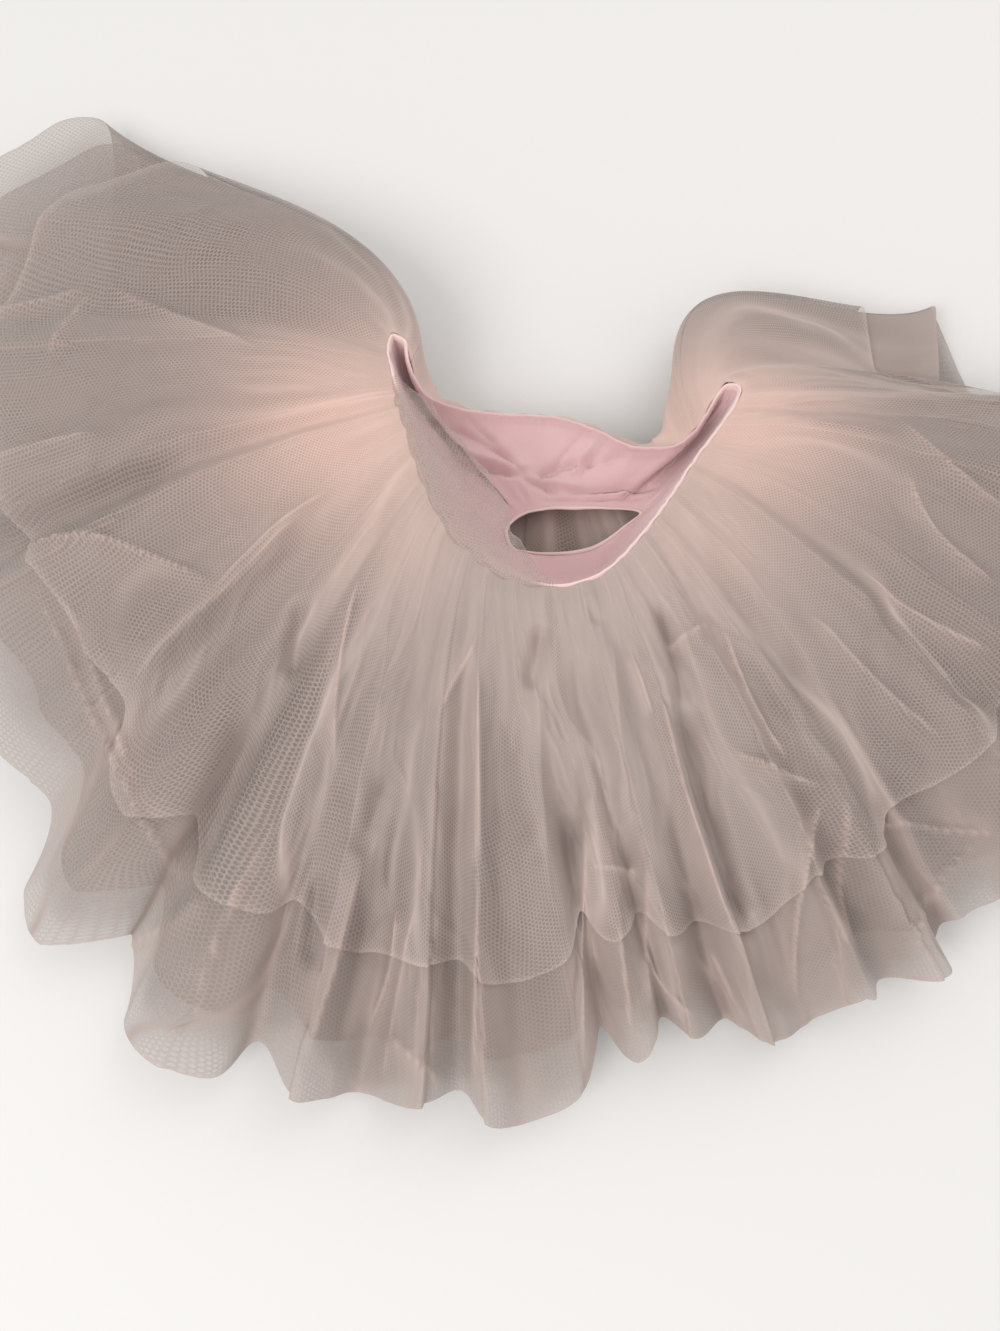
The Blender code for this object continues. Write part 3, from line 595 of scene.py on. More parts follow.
def sheet_mesh(name, grid, flat_u, flat_v, closed=False):
    """A mesh object from a grid of points; flat_u and flat_v are its place on the flat cloth.

    flat_u has one more value than a closed grid has columns.
    """
    rows, columns = grid.shape[:2]
    faces = grid_faces(rows, columns, closed)
    mesh = bpy.data.meshes.new(name)
    mesh.from_pydata(grid.reshape(-1, 3).tolist(), [], faces.tolist())
    row = np.repeat(np.arange(rows - 1), len(faces) // (rows - 1))
    column = np.tile(np.arange(len(faces) // (rows - 1)), rows - 1)
    u = np.stack([flat_u[column], flat_u[column], flat_u[column + 1], flat_u[column + 1]], 1)
    v = np.stack([flat_v[row], flat_v[row + 1], flat_v[row + 1], flat_v[row]], 1)
    cloth = mesh.uv_layers.new(name="cloth")
    cloth.uv.foreach_set("vector", np.stack([u, v], -1).astype(np.float32).ravel())
    length, drop = np.ptp(flat_u), np.ptp(flat_v)
    strips = max(1, round(math.sqrt(length / drop)))
    strip_length = length / strips
    strip = np.floor((u[:, :1] - flat_u.min()) / strip_length * JUST_UNDER)
    tidy_u = ((u - flat_u.min()) / strip_length - strip) * STRIP_FILL
    tidy_v = (strip + (v - flat_v.min()) / drop * STRIP_FILL) / strips
    tidy = mesh.uv_layers.new(name="OFBake")
    tidy.uv.foreach_set("vector", np.stack([tidy_u, tidy_v], -1).astype(np.float32).ravel())
    mesh.shade_smooth()
    return add_object(name, mesh)


# %% Values stored on a sheet, and its measures
def set_values(piece, name, values):
    """Stores one number for each point of a piece, which its finish can read."""
    stored = piece.data.attributes.new(name, "FLOAT", "POINT")
    stored.data.foreach_set("value", np.asarray(values, dtype=np.float32).ravel())


def facets(grid):
    """For each quad, an arrow as long as its area that shows the way it faces."""
    return np.cross(grid[:-1, 1:] - grid[:-1, :-1], grid[1:, :-1] - grid[:-1, :-1])


def surface_area(grid):
    """The area of a grid of points, in square metres."""
    return float(np.linalg.norm(facets(grid), axis=-1).sum())


# %% [markdown]
# ## How much net is in the way
#
# One thickness of this net hides about half of what is behind it. Where the cloth is
# packed or stands steep, the eye looks through more of it. For every spot the flat
# cloth's area is compared with the floor area it covers: that is the number of
# thicknesses. Each hides the same part of what is left, which gives the cover. The
# crest of a crease hides a little more, and its colour is made paler there, a painted
# highlight. The cut edge shows as a pale line too, hiding more, with a fuller colour.

# %% Cover from the mesh itself
THICKNESSES = (0.75, 9.0)    # the fewest and the most that are counted
CREST_BEND = 500.0      # bend of a full crease, in one over metres
SHORTEST_RUN = 0.0004   # along the hem, over which a bend is measured


def thicknesses(grid, flat_u, flat_v):
    """How many thicknesses of cloth the eye meets at each point, looking down."""
    plan = np.abs(facets(grid)[..., 2])
    cut = np.outer(np.diff(flat_v), np.diff(flat_u))
    layers = np.clip(cut / np.maximum(plan, 1e-12), *THICKNESSES)
    padded = np.pad(layers, 1, mode="edge")
    return (padded[1:, 1:] + padded[:-1, 1:] + padded[1:, :-1] + padded[:-1, :-1]) / 4


def crests(grid):
    """How sharply the cloth is creased upward at each point, 0 to 1."""
    bend = np.zeros(grid.shape[:2])
    run = np.linalg.norm(grid[:, 2:] - grid[:, :-2], axis=-1) / 2
    turn = 2 * grid[:, 1:-1, 2] - grid[:, 2:, 2] - grid[:, :-2, 2]
    bend[:, 1:-1] = turn / np.maximum(run, SHORTEST_RUN) ** 2
    return ease(bend / CREST_BEND)


# %% Where the gathers are pulled tight, and where light is painted on net in shade
# Places, in plan, round which the net's colour goes to full peach pink: crowding, and painted
# light.
TightAndPaintedLight = namedtuple("TightAndPaintedLight", "x y reach strength")
TIGHT_AND_PAINTED_LIGHT_PLACES = table_of(
    TightAndPaintedLight,
    # Behind the waist, (0.000, 0.078) is partly crowding and partly painted light in the
    # binding's shadow; (0.012, 0.010), under the lower opening, is painted light on net in shade.
    (-0.108, 0.046, 0.060, 0.95), (0.094, 0.048, 0.056, 0.90), (-0.086, -0.004, 0.048, 0.42),
    (0.072, -0.006, 0.050, 0.40), (-0.004, -0.062, 0.040, 0.07), (0.000, 0.078, 0.050, 0.55),
    (0.012, 0.010, 0.034, 0.28),
)
THIN_FULLNESS = 0.03
CROWD_FULLNESS = 0.014   # what each doubling of the thicknesses adds
# how much paler a full crest's colour is made: a painted highlight
CREST_PAINTED_HIGHLIGHT = 0.10
print(f"the net is pulled tight round {len(TIGHT_AND_PAINTED_LIGHT_PLACES)} places")


def fullness(grid, thick, crest):
    """How far the net's colour goes from thin and dusty, 0, to full peach pink, 1; crests and
    shaded places get painted light.
    """
    tight = np.zeros(thick.shape)
    for place in TIGHT_AND_PAINTED_LIGHT_PLACES:
        away = np.hypot(grid[..., 0] - place.x, grid[..., 1] - place.y) / place.reach
        tight = np.maximum(tight, place.strength * np.exp(-(away**2)))
    crowded = CROWD_FULLNESS * np.log2(thick)
    return np.clip(THIN_FULLNESS + tight + crowded + CREST_PAINTED_HIGHLIGHT * crest, 0.0, 1.0)


# %% [markdown]
# ## Finishes
#
# Every finish is worked out by nodes from the flat coordinates. Three cosines at sixty
# degrees add up to a lattice of bumps; everything below a level is thread and the rest
# is hole, which makes the round-holed net of soft tulle. Where the cover is high the
# holes close up, and the colour goes from thin dusty pink to full peach pink.

# %% Small helpers for nodes
CLOTH_SHINE = 0.25


def new_finish(name, roughness, sheen=0.0, colour=(0.8, 0.8, 0.8)):
    """A plain finish: its material, its nodes and its shader."""
    material = bpy.data.materials.new(name)
    material.use_nodes = True
    shader = material.node_tree.nodes["Principled BSDF"]
    shader.inputs["Roughness"].default_value = roughness
    shader.inputs["Sheen Weight"].default_value = sheen
    shader.inputs["Specular IOR Level"].default_value = CLOTH_SHINE
    shader.inputs["Base Color"].default_value = (*colour, 1.0)
    return material, material.node_tree, shader


def wire(tree, kind, settings=None, **inputs):
    """Adds a node; an input is a number, a tuple or another node's output."""
    node = tree.nodes.new(kind)
    for name, value in (settings or {}).items():
        setattr(node, name, value)
    for key, value in inputs.items():
        socket = node.inputs[int(key[1:])] if key[1:].isdigit() else node.inputs[key]
        if isinstance(value, bpy.types.NodeSocket):
            tree.links.new(value, socket)
        else:
            socket.default_value = value
    return node


def sums(tree, operation, a, b=0.0):
    """One step of arithmetic on numbers."""
    return wire(tree, "ShaderNodeMath", {"operation": operation}, _0=a, _1=b).outputs[0]


def blend_colours(tree, share, first, second):
    """The colour between two, by a share."""
    node = wire(tree, "ShaderNodeMix", {"data_type": "RGBA"}, _0=share)
    for socket, colour in ((node.inputs[6], first), (node.inputs[7], second)):
        if isinstance(colour, bpy.types.NodeSocket):
            tree.links.new(colour, socket)
        else:
            socket.default_value = (*colour, 1.0)
    return node.outputs[2]


def level(tree, value, low, high, to_low=0.0, to_high=1.0):
    """A value spread from one range to another, smoothly."""
    return wire(
        tree, "ShaderNodeMapRange", {"interpolation_type": "SMOOTHSTEP"},
        _0=value, _1=low, _2=high, _3=to_low, _4=to_high,
    ).outputs[0]


def cloth_place(tree):
    """Where on the flat cloth a point is, in metres."""
    return wire(tree, "ShaderNodeUVMap", {"uv_map": "cloth"}).outputs[0]


def ribs(tree, place, turns):
    """Even ribs across the flat cloth, from -1 to 1, turning so fast along each way."""
    dot = wire(tree, "ShaderNodeVectorMath", {"operation": "DOT_PRODUCT"}, _0=place, _1=turns)
    return sums(tree, "COSINE", dot.outputs["Value"])


# %% Net
NET_PITCH = 0.0020      # from one hole of the net to the next, before it is stretched
THREAD_LEVEL = (-0.75, -0.15)   # lattice values that are all thread, and all hole
THREAD_MEAN = 0.33      # share of the net that is thread
THREAD_CONTRAST = 0.50  # how much clearer the holes are than the threads
NET_ROUGH_AND_SHEEN = (0.62, 0.2)
THIN_PINK = (0.455, 0.385, 0.358)   # single net, dusty
# The two layers beneath get a darker copy of the same net: painted shade.
PAINTED_SHADE_PINK = (0.385, 0.318, 0.292)   # the two layers beneath, a shade deeper
FULL_PINK = (0.85, 0.60, 0.52)      # gathered net, peach pink
# gathered net of the layers beneath, darker as painted shade
FULL_PAINTED_SHADE_PINK = (0.76, 0.565, 0.50)


def number(tree, name):
    """A number stored on the points of a piece."""
    return wire(tree, "ShaderNodeAttribute", {"attribute_name": name}).outputs["Fac"]


def net_finish(name, thin, full):
    """Soft net: threads round holes, closing up where it is gathered."""
    material, tree, shader = new_finish(name, *NET_ROUGH_AND_SHEEN)
    place = cloth_place(tree)
    turns = 2 * math.pi * 2 / (math.sqrt(3) * NET_PITCH)
    lattice = 0.0
    for angle in (0.0, math.pi / 3, 2 * math.pi / 3):
        direction = (turns * math.cos(angle), turns * math.sin(angle), 0.0)
        lattice = sums(tree, "ADD", ribs(tree, place, direction), lattice)
    thread = level(tree, lattice, *THREAD_LEVEL, 1.0, 0.0)
    cover = number(tree, "cover")
    open_part = sums(tree, "SUBTRACT", 1.0, cover)
    pattern = sums(tree, "MULTIPLY", sums(tree, "SUBTRACT", thread, THREAD_MEAN), open_part)
    alpha = wire(tree, "ShaderNodeMath", {"operation": "MULTIPLY_ADD", "use_clamp": True},
                 _0=pattern, _1=THREAD_CONTRAST, _2=cover).outputs[0]
    tree.links.new(alpha, shader.inputs["Alpha"])
    colour = blend_colours(tree, number(tree, "full"), thin, full)
    tree.links.new(colour, shader.inputs["Base Color"])
    return material


net_pink = net_finish("soft net", THIN_PINK, FULL_PINK)
net_beneath_painted_shade = net_finish("soft net beneath in painted shade", PAINTED_SHADE_PINK, FULL_PAINTED_SHADE_PINK)
print(f"finishes: {net_pink.name} and {net_beneath_painted_shade.name}, a hole every {NET_PITCH * 1000:.0f} mm")

# %% [markdown]
# ## The three net layers
#
# Each layer is a front panel and a back panel, sewn together at the sides. The panels
# are built alike: the smooth form, the hem's waves, the shared folds that run through
# all three layers because they were gathered together, the layer's own folds, and the
# landmark creases. They are cut to three depths, the outer one shortest, then the inner
# one, and the middle one longest, so their hems show as lines one below the other.
# Whatever would sink below the floor is laid on it instead.

# %% Layers and panels
CUT_DROP = 0.265         # depth of the longest strip
LEFT_SEAM, RIGHT_SEAM = 0.970, 0.650
# cut: the length of its whole strip before gathering; reach: how much of the longest
# drop it has; uneven: how its hem wanders, as a share of its depth; lines_from: the reach
# past which its pressed creases show; hides: what a single open thickness hides.
Layer = namedtuple("Layer", "name outward cut reach wave uneven lines_from hides seed")
LAYERS = (
    Layer("inner", 0, 2.08, 0.900, 0.94, 0.020, 2.00, 0.55, 100),
    Layer("middle", 1, 2.10, 1.000, 1.00, 0.006, 0.74, 0.60, 200),
    Layer("outer", 2, 1.90, 0.750, 1.05, 0.035, 0.00, 0.40, 300),
)
Panel = namedtuple("Panel", "side start end columns rows fold_scale creases")
PANELS = (
    Panel("front", LEFT_SEAM, RIGHT_SEAM + 1.0, 880, 100, 1.0, FRONT_CREASES),
    Panel("back", RIGHT_SEAM, LEFT_SEAM, 440, 60, 0.6, BACK_CREASES),
)
for layer in LAYERS:
    print(f"{layer.name}: {layer.cut:.2f} m long, {layer.reach * CUT_DROP * 1000:.0f} mm deep")

# %% One panel's points
SEAM_EDGE = 0.0001       # shares from a side seam to a panel's edge
WALL = 0.0010            # the solids' wall, whose middle the cloth follows
LAYER_STEP_WAIST = 0.0016   # from one layer to the next at the waist
STEP_GROWTH = 1.6        # how soon that step grows to the one at the hem
FLOOR_STEP = 0.0024      # from one layer to the next where they lie on the floor
FLOOR_CLEAR = 0.0004
ROW_CROWDING = 1.12      # above 1, rows of the sheet stand closer at the waist
HEM_WANDERS = 34         # how often the hems wander in and out
HEM_WANDER_REACH = 4     # the higher, the nearer to the hem that stays
RUFFLE_CALM = 0.006      # half height of the waves below which folds are lower too
CREASES_FROM = 0.12      # down at which the landmark creases are full
START_RISE = 0.0032      # how far the gathers stand up against the binding
BACK_RISE = -0.2         # the share of that which the back has, away from its seams
START_PULL = (0.0012, 0.0012)   # how far they are drawn in to it: all, and each layer
START_REACH = 0.06       # and how soon they part from it
START_TUCK = 0.0013      # how far their edges are tucked level against it
SEAM_CALM = 0.012        # shares beside a seam over which the folds die



def net_grid(layer, panel):
    """The points of one panel and its coordinates on the flat cloth."""
    share = np.linspace(panel.start + SEAM_EDGE, panel.end - SEAM_EDGE, panel.columns)
    row = np.linspace(0, 1, panel.rows) ** ROW_CROWDING
    hem = folds_field(share, np.zeros_like(share), HEM_WANDERS, 1, layer.seed)
    wander = layer.uneven * hem * row[:, None] ** HEM_WANDER_REACH
    down = np.clip(row[:, None] * layer.reach * (1 + wander), 0, 1)
    from_seam = np.minimum(share - panel.start, panel.end - share)
    at = np.broadcast_to(share, down.shape)
    at = at + crowd(at, down, ease(from_seam / SEAM_CALM))
    line = read_line(HEM, at)
    step = LAYER_STEP_WAIST + (line["step"] - LAYER_STEP_WAIST) * ease(down * STEP_GROWTH)
    grow = down**RUFFLE_GROWTH
    stitched = 1 - ease(down / START_REACH)
    drawn = stitched * (START_PULL[0] + START_PULL[1] * layer.outward)
    height = (SEAM_RUFFLE + (line["ruffle"] - SEAM_RUFFLE) * grow) * layer.wave * wave_at(at)
    calm = ease(line["ruffle"] / RUFFLE_CALM) * panel.fold_scale
    height += fold_heights(SHARED_FOLDS, at, down) * calm
    height += fold_heights(OWN_FOLDS, at, down, layer.seed) * calm
    off_form = WALL / 2 + layer.outward * step + height - drawn
    grid = skirt_form(at, down) + skirt_facing(at, down) * off_form[..., None]
    lift = crease_lift(panel.creases, grid)
    grid[..., 2] += lift * ease(down / CREASES_FROM)
    lower = 1 - BACK_RISE if panel.side == "back" else 0.0
    grid[..., 2] += START_RISE * (1 - lower * ease(from_seam / START_REACH)) * stitched
    grid -= waist_outward(at) * (START_TUCK * stitched**2)[..., None]
    floor = FLOOR_CLEAR + FLOOR_STEP * (LAYERS[-1].outward - layer.outward)
    grid[..., 2] = np.maximum(grid[..., 2], floor)
    return grid, share * layer.cut, row * layer.reach * CUT_DROP


# %% How much a panel hides, and its colour
CREST_COVER = 0.10      # what a full crease adds to the cover
EDGE_SHARE = 0.008      # share of the depth that the cut edge's pale line takes
EDGE_PALE = 0.4         # how pale the cut edge is beside a pressed crease
LINES_FADE = 0.02       # share of the drop over which a layer's creases begin to show
LINE_COVER = 0.55       # what a pressed crease adds to the cover
# Along a crease's line this is a painted highlight; on its doubled cloth and the cut edge it is
# fuller colour.
LINE_HIGHLIGHT_AND_FULLNESS = 0.26    # and to the fullness of the colour


def dress_net(piece, grid, flat_u, flat_v, layer, panel):
    """Stores how much a net piece hides and how full its colour is."""
    thick = thicknesses(grid, flat_u, flat_v)
    crest = crests(grid)
    depth = (flat_v - flat_v[0])[:, None]
    edge = ease(1 - (1 - depth / depth.max()) / EDGE_SHARE)
    shown = ease((depth / CUT_DROP - layer.lines_from) / LINES_FADE + 1)
    # The paler colour along each pressed crease's line is a painted highlight.
    lines = crease_highlights_and_doubling(panel.creases, grid) * shown
    pale = np.maximum(lines, EDGE_PALE * edge)
    cover = 1 - (1 - layer.hides) ** thick
    cover = cover + (CREST_COVER * crest + LINE_COVER * pale) * (1 - cover)
    set_values(piece, "cover", np.clip(cover, 0, 1))
    set_values(piece, "full", np.clip(fullness(grid, thick, crest) + LINE_HIGHLIGHT_AND_FULLNESS * pale, 0, 1))
    piece.data.materials.append(net_pink if layer.outward == 2 else net_beneath_painted_shade)


# %% The six pieces of net
for layer in LAYERS:
    for panel in PANELS:
        grid, flat_u, flat_v = net_grid(layer, panel)
        piece = sheet_mesh(f"net_{layer.name}_{panel.side}", grid, flat_u, flat_v)
        dress_net(piece, grid, flat_u, flat_v, layer, panel)
        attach(piece, "root")
        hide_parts(f"tulle_{layer.name}_{panel.side}")

# %% [markdown]
# ## The fold of net across the opening
#
# A little of the outer strip stands above its stitching as a heading. On the left it
# has flopped inward over the waist and hangs across the opening like a veil, with its
# folded edge running down to the dip of the U.

# %% The fallen heading
# width: how far its free edge stands inside the waist, at each share of the waist.
VeilStop = namedtuple("VeilStop", "share width")
VEIL = table_of(
    VeilStop,
    (0.050, 0.0000), (0.072, 0.0115), (0.105, 0.0185), (0.135, 0.0250), (0.160, 0.0285),
    (0.180, 0.0305), (0.208, 0.0300), (0.228, 0.0270), (0.248, 0.0230), (0.273, 0.0175),
    (0.295, 0.0100), (0.315, 0.0000),
)
VEIL_CUT = (0.175, 0.034)
VEIL_COLUMNS, VEIL_ROWS = 220, 30
VEIL_EVENED = 12                 # columns either side over which its width is evened
VEIL_WIDE, VEIL_NARROW = 0.026, 0.012   # widths at which it sags, and stands off, fully
VEIL_RISE = 0.0050               # its height over the middle of the binding
VEIL_SAG, SAG_GROWTH = 0.0100, 1.5   # how far its free edge sags, and how it gets there
VEIL_OVER = 0.24                 # share of its depth that lies over the binding
VEIL_ROUND = 0.0044              # how far it stands off the middle on the outside
VEIL_TIGHT = 0.0016              # and where it ends at either side
VEIL_START = 0.62                # the angle round the binding that it starts at
VEIL_WOBBLE = 0.0016             # how unevenly its free edge runs
VEIL_RIPPLE, RIPPLE_LEAN = 0.0022, 0.05   # ripples on it, and how they slant
# Fields, here and below: cells along the cloth, cells down it, and a seed.
WOBBLE_FIELD, RIPPLE_FIELD = (60, 1, 44), (70, 3, 41)


def veil_grid():
    """Points from the seam outside the waist, over the binding, to the veil's free edge."""
    share = np.linspace(VEIL[0].share, VEIL[-1].share, VEIL_COLUMNS)
    width = np.interp(share, [stop.share for stop in VEIL], [stop.width for stop in VEIL])
    span = 2 * VEIL_EVENED + 1
    padded = np.pad(width, VEIL_EVENED, mode="edge")
    width = np.convolve(padded, np.ones(span) / span, mode="valid")
    wobble = folds_field(share, np.zeros_like(share), *WOBBLE_FIELD) * VEIL_WOBBLE
    width = width + wobble * ease(width / VEIL_NARROW)
    row = np.linspace(0, 1, VEIL_ROWS)[:, None]
    quarter = VEIL_START + np.clip(row / VEIL_OVER, 0, 1) * (math.pi / 2 - VEIL_START)
    inside = np.clip((row - VEIL_OVER) / (1 - VEIL_OVER), 0, 1)
    part = (width / VEIL_WIDE)[None, :]
    grown = ease(width / VEIL_NARROW)[None, :]
    stand_off = VEIL_TIGHT + (VEIL_ROUND - VEIL_TIGHT) * grown
    aside = stand_off * np.cos(quarter) - width[None, :] * inside
    height = VEIL_RISE * np.sin(quarter) - VEIL_SAG * inside**SAG_GROWTH * part
    ripples = folds_field(share[None, :] + RIPPLE_LEAN * row, row, *RIPPLE_FIELD) * VEIL_RIPPLE
    height = height + ripples * inside * part
    out = waist_outward(share)
    return waist_at(share)[None] + out[None] * aside[..., None] + points(0.0, 0.0, height)


# %% How much the veil hides
VEIL_COVER, VEIL_THINS = 0.70, 0.30   # at the binding, and how much less at its free edge
VEIL_THIN_BY = 0.8                    # share of its depth at which it has thinned fully
VEIL_CRINKLE, VEIL_MOTTLE, VEIL_EDGE = 0.10, 0.12, 0.30   # what each of these adds
EDGE_FROM, EDGE_WIDE = 0.955, 0.04    # where its pale edge begins, and how soon it is full
VEIL_FULL, FULL_MORE = 0.08, 0.34     # how full its colour is, and more at the binding
FULL_BY = 0.45                        # share of its depth over which that goes
VEIL_FADE, FADE_START = 0.10, 0.15    # how soon it ends at its sides, and at the stitching
CRINKLE_FIELD, CRINKLE_LEAN, MOTTLE_FIELD = (24, 6, 43), 0.1, (90, 16, 45)


def veil_shades():
    """How much the veil hides at each of its points, and how full its colour is there."""
    row = np.linspace(0, 1, VEIL_ROWS)[:, None] * np.ones(VEIL_COLUMNS)
    run = np.linspace(0, 1, VEIL_COLUMNS)[None, :]
    crinkle = folds_field(run + CRINKLE_LEAN * row, row, *CRINKLE_FIELD)
    mottle = folds_field(run, row, *MOTTLE_FIELD)
    cover = VEIL_COVER - VEIL_THINS * ease(row / VEIL_THIN_BY) + VEIL_CRINKLE * crinkle
    cover = cover + VEIL_MOTTLE * mottle + VEIL_EDGE * ease((row - EDGE_FROM) / EDGE_WIDE)
    ends = ease(row / VEIL_FADE + FADE_START) * ease(np.minimum(run, 1 - run) / VEIL_FADE)
    return np.clip(cover, 0, 1) * ends, FULL_MORE * (1 - ease(row / FULL_BY)) + VEIL_FULL


veil_points = veil_grid()
veil = sheet_mesh("net_veil", veil_points, *spread(VEIL_CUT, VEIL_COLUMNS, VEIL_ROWS))
for name, values in zip(("cover", "full"), veil_shades()):
    set_values(veil, name, values)
# The veil, part of the outer strip, takes the darker copy of the net: painted shade.
veil.data.materials.append(net_beneath_painted_shade)
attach(veil, "root")
print(f"the veil's area is {surface_area(veil_points):.4f} square metres")

# %% [markdown]
# ## The jersey lining
#
# The lining is a short tube of pink cotton jersey. Its top is caught in the waist, and
# inside it narrows to the lower opening. Jersey is heavier than net, so its wrinkles
# are few and soft. They are placed one by one where the tube is pushed together: fans from
# its left and right ends, and level lines that follow the rim of the opening.

# %% The lower opening
LENS_CENTRE = np.array((0.010, 0.012, 0.0185))
# The lower opening: nearly straight behind, round on the left, a sharp corner right.
LensStop = namedtuple("LensStop", "share x y")
LENS = table_of(
    LensStop,
    (0.000, -0.0215, 0.0185), (0.078, -0.0268, 0.0105), (0.130, -0.0245, 0.0025),
    (0.187, -0.0175, -0.0010), (0.240, -0.0060, -0.0020), (0.296, 0.0050, -0.0018),
    (0.350, 0.0165, 0.0004), (0.405, 0.0270, 0.0058), (0.460, 0.0370, 0.0142),
    (0.514, 0.0455, 0.0215), (0.560, 0.0420, 0.0232), (0.592, 0.0360, 0.0238),
    (0.690, 0.0200, 0.0245), (0.796, 0.0020, 0.0245), (0.900, -0.0130, 0.0225),
)


def lens_at(share):
    """Points on the lining's lower edge."""
    row = read_line(LENS, share)
    return points(row["x"], row["y"], LENS_CENTRE[2])


lens_long, lens_deep = (np.ptp([getattr(stop, way) for stop in LENS]) * 1000 for way in "xy")
print(f"the lower opening is about {lens_long:.0f} by {lens_deep:.0f} mm")

# %% The lining's wrinkles
LINING_CREASES = table_of(
    Crease,
    (-0.062, 0.064, -0.014, 0.040, -0.004, 0.0024, -0.0042, 0.3, 0.0),
    (-0.014, 0.040, 0.026, 0.046, -0.003, 0.0024, -0.0040, 0.3, 0.0),
    (0.020, 0.045, 0.062, 0.055, 0.001, 0.0026, -0.0038, 0.3, 0.0),
    (-0.050, 0.070, -0.030, 0.056, 0.001, 0.0020, -0.0032, 0.4, 0.0),
    (-0.056, 0.056, -0.010, 0.046, 0.003, 0.0030, 0.0032, 0.4, 0.0),
    (-0.048, 0.046, 0.004, 0.031, -0.003, 0.0021, -0.0042, 0.3, 0.0),
    (0.000, 0.032, 0.058, 0.036, 0.001, 0.0021, -0.0036, 0.3, 0.0),
    (-0.030, 0.041, 0.020, 0.033, -0.002, 0.0022, 0.0030, 0.5, 0.0),
    (0.030, 0.062, 0.006, 0.038, 0.002, 0.0019, 0.0026, 0.5, 0.0),
    (0.036, 0.060, 0.012, 0.038, 0.002, 0.0019, -0.0022, 0.3, 0.0),
    (0.026, 0.066, -0.004, 0.042, 0.002, 0.0019, -0.0020, 0.3, 0.0),
    (-0.012, 0.0285, 0.052, 0.031, 0.001, 0.0013, -0.0022, 0.4, 0.0),
    (-0.004, 0.0315, 0.056, 0.034, 0.001, 0.0013, 0.0020, 0.5, 0.0),
    (-0.030, -0.012, 0.052, 0.006, 0.012, 0.0022, -0.0024, 0.3, 0.0),
    (-0.022, -0.022, 0.046, -0.004, 0.010, 0.0022, 0.0024, 0.5, 0.0),
    (-0.014, -0.030, 0.036, -0.018, 0.008, 0.0020, -0.0020, 0.3, 0.0),
    (-0.080, 0.082, -0.050, 0.050, 0.003, 0.0028, 0.0026, 0.4, 0.0),
    (-0.076, 0.060, -0.040, 0.024, -0.003, 0.0028, -0.0026, 0.3, 0.0),
)
print(f"{len(LINING_CREASES)} wrinkles by hand in the lining")

# %% The tube's form
LINING_COLUMNS, LINING_ROWS = 560, 56
LENS_PULL = 0.30         # how level the lining comes in to it
JERSEY_WALL = 0.0012
LINING_RISE = 0.0030     # how far it stands up against the binding
LINING_PULL = 0.0014     # and is drawn in to it
LINING_CAUGHT = 0.10     # over this share of its depth
WRINKLE, WRINKLES_ROUND, WRINKLE_LEAN = 0.0009, 9, 3.0
FINE_WRINKLE, FINE_FIELD = 0.0006, (64, 5, 51)
TOP_PUCKER, PUCKER_FIELD = 0.0005, (190, 3, 52)
TOP_PUCKER_REACH = 0.12  # how soon the puckers under the binding die, as a share
FACING_UP = 0.02         # makes the level cloth by the opening face up


def lining_grid(share, along):
    """Points on the lining's middle, from the waist down to the lens."""
    out, up = waist_outward(share), np.array((0.0, 0.0, 1.0))
    start = waist_at(share) - out * (BAND_THICK / 2 + SEAM_GAP)
    hang = start - points(0.0, 0.0, read_line(WAIST, share)["drop"])
    end = lens_at(share)
    level_in = (start - end) * np.array((LENS_PULL, LENS_PULL, 0.0))
    along = along[:, None, None]
    rest = 1.0 - along
    grid = start * rest**3 + hang * 3 * rest**2 * along + (end + level_in) * 3 * rest * along**2
    grid = grid + end * along**3
    caught = 1 - ease(along / LINING_CAUGHT)
    grid = grid + (out * LINING_PULL + up * LINING_RISE) * caught
    swing = np.sin(2 * math.pi * WRINKLES_ROUND * share + WRINKLE_LEAN * along[..., 0])
    belly = np.sin(math.pi * along[..., 0])
    grid[..., 2] += WRINKLE * belly * swing
    fine = folds_field(share[None, :], along[..., 0], *FINE_FIELD) * FINE_WRINKLE * belly
    puckers = folds_field(share[None, :], along[..., 0], *PUCKER_FIELD) * TOP_PUCKER
    grid[..., 2] += fine + puckers * np.exp(-along[..., 0] / TOP_PUCKER_REACH)
    grid[..., 2] += crease_lift(LINING_CREASES, grid) * belly**0.5
    around = np.roll(grid, -1, axis=1) - np.roll(grid, 1, axis=1)
    fall = np.gradient(grid, axis=0)
    facing = unit(np.cross(around, fall))
    inward = LENS_CENTRE - grid
    inward[..., 2] = FACING_UP
    facing *= np.sign(np.sum(facing * inward, axis=-1, keepdims=True))
    return grid + facing * (JERSEY_WALL / 2)


# %% Jersey
JERSEY_PINK = (0.75, 0.515, 0.525)
JERSEY_ROUGH_AND_SHEEN = (0.78, 0.35)
KNIT_PITCH = 0.0011     # from one rib of the knit to the next
KNIT_DEPTH, KNIT_STRENGTH = 0.00004, 0.5


def jersey_finish(name, colour):
    """Fine cotton jersey: matt, with ribs down its length."""
    material, tree, shader = new_finish(name, *JERSEY_ROUGH_AND_SHEEN, colour)
    height = ribs(tree, cloth_place(tree), (2 * math.pi / KNIT_PITCH, 0.0, 0.0))
    bump = wire(tree, "ShaderNodeBump",
                Strength=KNIT_STRENGTH, Distance=KNIT_DEPTH, Height=height)
    tree.links.new(bump.outputs[0], shader.inputs["Normal"])
    return material


jersey_pink = jersey_finish("pink jersey", JERSEY_PINK)
print(f"{jersey_pink.name}: {0.01 / KNIT_PITCH:.0f} ribs a centimetre")

